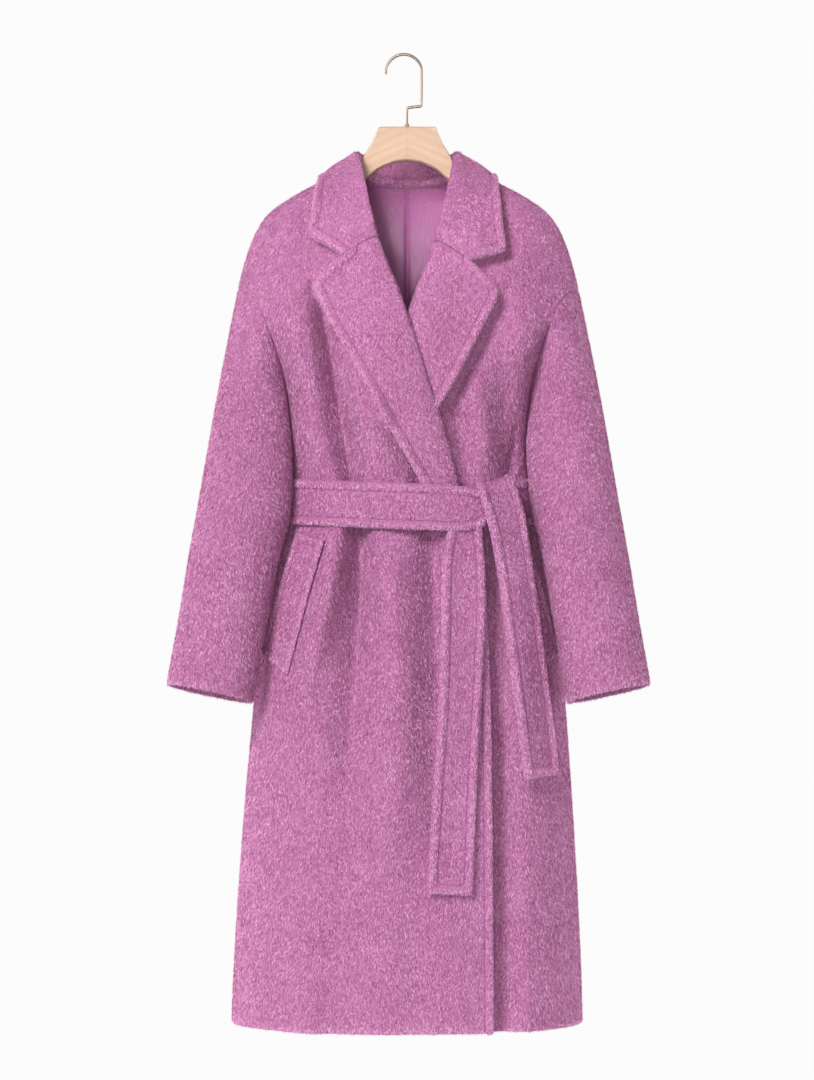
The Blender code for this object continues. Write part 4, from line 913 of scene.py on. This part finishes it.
for cut in CUTS:
    if cut.swirl:
        per_m2 = LOCKS_PER_M2.get(cut.node, USUAL_LOCKS_PER_M2)
        pile_on(cloth[cut.node], "pile_" + cut.name, cut.swirl, per_m2)

# %% [markdown]
# ## Topstitching
#
# The edges are sewn down once more, 11 mm inside. The line is found on the shell itself: wherever
# the distance from the edge passes 11 mm between two points, there is one point of the seam, and
# triangles that share such a point lead on to the next.

# %% Find the stitch lines
def stitch_lines(mesh):
    """The lines one inset in from the stitched edge, each as an array of points and normals."""
    corners, owner, _ = triangles_of(mesh)
    value = np.empty(len(mesh.vertices))
    mesh.attributes["edge_distance"].data.foreach_get("value", value)
    value, both = value - STITCH_INSET, np.hstack((points_of(mesh), normals_of(mesh)))
    within = value[corners] < 0
    crossed = within.any(1) & ~within.all(1) & (woolly(mesh)[owner] > 0)
    at, links = {}, {}
    for triangle in corners[crossed].tolist():
        ends = []
        for a, b in zip(triangle, triangle[1:] + triangle[:1]):
            if (value[a] < 0) != (value[b] < 0):
                ends.append((min(a, b), max(a, b)))
                at[ends[-1]] = both[a] + value[a] / (value[a] - value[b]) * (both[b] - both[a])
        links.setdefault(ends[0], []).append(ends[1])
        links.setdefault(ends[1], []).append(ends[0])
    lines, left = [], dict.fromkeys(sorted(at, key=lambda e: len(links[e])))
    while left:
        line = [next(iter(left))]
        while line[-1] is not None:
            left.pop(line[-1])
            line.append(next((e for e in links[line[-1]] if e in left), None))
        lines.append(np.array([at[e] for e in line[:-1]]))
    return lines


print("stitch lines on the long end of the belt:", len(stitch_lines(cloth["belt_tail_long"].data)))

# %% [markdown]
# ## The stitches
#
# Along each line lie short threads, 4.6 mm from one to the next, sunk into the channel that they
# pull. A thread that shows is a small pill, round across and pointed at both ends where it goes into
# the cloth. One pill is made once, and arrays set copies of it down along the line.


# %% Sew the edges
STITCH, STITCH_PITCH, THREAD = 3.1 * MM, 4.6 * MM, 0.8 * MM
STAND_OFF = 0.1 * MM  # how far a thread's middle is above the cloth


def thread_pill():
    """One thread as points and triangles, its length along Z."""
    form = bmesh.new()
    bmesh.ops.create_uvsphere(form, u_segments=5, v_segments=3, radius=0.5)
    bmesh.ops.triangulate(form, faces=form.faces)
    points = np.array([v.co[:] for v in form.verts]) * (THREAD, 0.8 * THREAD, STITCH)
    corners = np.array([[v.index for v in f.verts] for f in form.faces])
    form.free()
    return points, corners


def stitches_on(piece, name):
    """The topstitching of one piece: every thread the same small pill, all joined in one mesh."""
    pill, corners = thread_pill()
    threads = []
    for line in stitch_lines(piece.data):
        run = np.concatenate(([0], np.cumsum(np.linalg.norm(np.diff(line[:, :3], axis=0), axis=1))))
        stops = np.arange(STITCH_PITCH / 2, run[-1], STITCH_PITCH)
        if len(stops) > 2:
            middle, ahead = (
                np.stack([np.interp(stops + more, run, line[:, i]) for i in range(6)], axis=1)
                for more in (0, 0.2 * STITCH))
            along = unit(ahead[:, :3] - middle[:, :3] + 1e-9)
            across = unit(np.cross(middle[:, 3:], along))
            turn = np.stack((across, np.cross(along, across), along), axis=1)
            threads.append((middle[:, :3] + STAND_OFF * middle[:, 3:])[:, None] + pill @ turn)
    threads = np.concatenate(threads)
    faces = (np.arange(len(threads))[:, None, None] * len(pill) + corners).ravel()
    made = joined_mesh(name, threads, faces)
    shade_smooth(made)
    return place(made, name, (sewing_thread,), "brushed_wool")


sewn = {cut.node: stitches_on(cloth[cut.node], "stitches_" + cut.name) for cut in CUTS if cut.stitched}
print("stitches:", sum(len(o.data.polygons) for o in sewn.values()), "triangles:",
      {node: len(o.data.polygons) for node, o in sewn.items()})

# %% [markdown]
# ## Cloth facts
#
# Each sheet's area of cloth is printed beside the area it was cut from.

for cut in CUTS:
    side_area = sum(p.area for p in cloth[cut.node].data.polygons) / 2
    cut_area = cut.area or cut.flat[0] * cut.flat[1]
    print(f"{cut.name}: {side_area:.4f} m2 of cloth, cut from {cut_area:.4f}")

# %% [markdown]
# ## The hanger
#
# The solids of the hanger have the real shapes. Copies of them get softened edges: a hanger is
# sanded and lacquered, so no edge is sharp. Weighted normals keep its broad faces flat in the light,
# with all of the rounding in the narrow bevels. The hook is a bent wire without edges, so it is
# subdivided instead.


# %% Hanger pieces
HARD_EDGE = radians(50)  # edges that bend more than this are softened
CREASE = radians(35)  # and what still bends more than this stays crisp in the light


def softened(node, name, offset, levels, material, slot):
    """A copy of a solid with rounded edges, or with its turned wire subdivided."""
    form = merged_copy(node)
    sharp = [e for e in form.edges if e.is_manifold and e.calc_face_angle() > HARD_EDGE]
    if sharp and offset:
        bevelled(form, sharp, offset, segments=2)
    mesh = bpy.data.meshes.new(name)
    form.to_mesh(mesh)
    form.free()
    shade_smooth(mesh)
    mesh.set_sharp_from_angle(angle=CREASE)
    made = place(mesh, name, (material,), slot)
    if levels:
        subdivided(made, levels)
    else:
        flat = made.modifiers.new("Weighted normals", "WEIGHTED_NORMAL")
        flat.keep_sharp = True
    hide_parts(node)
    return made


hanger_wood = softened("hanger_body", "wooden_hanger", 1.5 * MM, 0, lacquered_beech, "beech")
hook = softened("hanger_hook", "steel_hook", 0, 2, plated_steel, "polished_steel")
ferrule = softened("hanger_ferrule", "steel_ferrule", 0.4 * MM, 0, plated_steel, "polished_steel")
print("hanger:", [len(o.data.polygons) for o in (hanger_wood, hook, ferrule)], "faces")

# %% [markdown]
# ## Floor and room
#
# A pale matt floor lies below the hem and fades into the white of the room. The room has two
# backgrounds: the camera sees a white one, and the coat is lit by a much weaker one. A room as bright
# as it looks would light every side alike and wash the folds out.


# %% Floor and room
FLOOR_Z, FLOOR_RADIUS = -1.62, 2.5
FADE_START, FADE_END = 1.9, 2.3  # from the hook
ROOM_SEEN, ROOM_LIGHT = 0.97, 0.225


def pale_floor():
    """A matt white floor that fades out with distance."""
    made, tree, out = new_material("matt_floor")
    where = add(tree, "TexCoord")
    far = add(tree, "VectorMath", {"operation": "LENGTH"}, links={0: (where, "Object")})
    speckle = add(tree, "TexNoise", values={"Scale": 60.0}, links={"Vector": (where, "Object")})
    ramp = add(tree, "ValToRGB", {"stops": ((0.3, "#EFEFEE"), (0.7, "#F3F3F2"))},
               links={"Fac": (speckle, "Fac")})
    matt = add(tree, "BsdfPrincipled", values={"Roughness": 0.9, "Specular IOR Level": 0.1},
               links={"Base Color": (ramp, "Color")})
    clear = add(tree, "BsdfTransparent")
    fade = add(tree, "MapRange", {"interpolation_type": "SMOOTHSTEP"},
               {"From Min": FADE_START, "From Max": FADE_END}, {"Value": (far, "Value")})
    both = add(tree, "MixShader", links={0: (fade, "Result"), 1: (matt, "BSDF"), 2: (clear, "BSDF")})
    tree.links.new(both.outputs["Shader"], out.inputs["Surface"])
    return made


form = bmesh.new()
bmesh.ops.create_circle(form, cap_ends=True, segments=64, radius=FLOOR_RADIUS)
bmesh.ops.translate(form, verts=form.verts, vec=(0, 0, FLOOR_Z))
mesh = bpy.data.meshes.new("floor")
form.to_mesh(mesh)
form.free()
mesh.materials.append(pale_floor())
floor = bpy.data.objects.new("floor", mesh)
bpy.context.scene.collection.objects.link(floor)

world = bpy.data.worlds.new("white_room")
world.use_nodes = True
room = world.node_tree
white = (1.0, 1.0, 1.0, 1.0)
seen = room.nodes["Background"]  # every new world has one
seen.inputs["Color"].default_value, seen.inputs["Strength"].default_value = white, ROOM_SEEN
lit = add(room, "Background", values={"Color": white, "Strength": ROOM_LIGHT})
path = add(room, "LightPath")
either = add(room, "MixShader", links={0: (path, "Is Camera Ray"), 1: (lit, "Background"),
                                       2: (seen, "Background")})
room.links.new(either.outputs["Shader"], room.nodes["World Output"].inputs["Surface"])
bpy.context.scene.world = world
bpy.context.scene.view_settings.view_transform = "Standard"
print("floor at", FLOOR_Z, "m, room light", ROOM_LIGHT)

# %% [markdown]
# ## Lamps
#
# One broad lamp up at the wearer's right, in front, models the folds. A weaker one straight ahead
# opens the shadows, and a very small one with a narrow beam reaches the lining inside the neck. Two
# lamps behind, one at each side, draw a thin light edge round sleeves and skirt.


# %% Set the lamps
CHEST = (0, 0, -0.65)


def lamp(name, place_at, aim, size, power, spread=180):
    """A square area lamp at place_at that looks at aim. A grid in front of it keeps its light within
    spread, in degrees."""
    light = bpy.data.lights.new(name, "AREA")
    light.size, light.energy, light.spread = size, power, radians(spread)
    made = bpy.data.objects.new(name, light)
    made.location = place_at
    made.rotation_euler = (Vector(aim) - Vector(place_at)).to_track_quat("-Z", "Y").to_euler()
    bpy.context.scene.collection.objects.link(made)
    return made


lamps = [
    lamp("key", (-2.6, -4.4, 2.4), CHEST, 2.0, 288),
    lamp("fill", (-0.2, -5.0, -0.6), CHEST, 1.4, 58),
    lamp("neck", (-0.3, -2.4, -0.38), (0, 0, -0.17), 0.2, 0.085, 13),
    lamp("left_rim", (-3.0, 1.6, -0.3), CHEST, 2.0, 110),
    lamp("right_rim", (3.0, 1.6, -0.3), CHEST, 2.0, 110),
]
print("lamps:", {made.name: made.data.energy for made in lamps})

# %% [markdown]
# ## Camera
#
# The camera stands far off at the height of the belt, with a long lens, as for a catalogue: the coat
# looks flat and straight, and both sleeves are seen alike. The frame is taller than wide, and its
# long side is the one that the sensor's width stands for.

# %% Set the camera
AWAY, HEIGHT = 4.5, -0.6288
SENSOR = 36  # mm
SEEN_HEIGHT = 1.404  # m that fill the frame's long side, at the coat
lens = bpy.data.cameras.new("camera")
lens.sensor_width, lens.lens = SENSOR, SENSOR * AWAY / SEEN_HEIGHT
camera = bpy.data.objects.new("camera", lens)
camera.location, camera.rotation_euler = (0, -AWAY, HEIGHT), (radians(90), 0, 0)
bpy.context.scene.collection.objects.link(camera)
bpy.context.scene.camera = camera
print("lens:", round(lens.lens, 1), "mm")
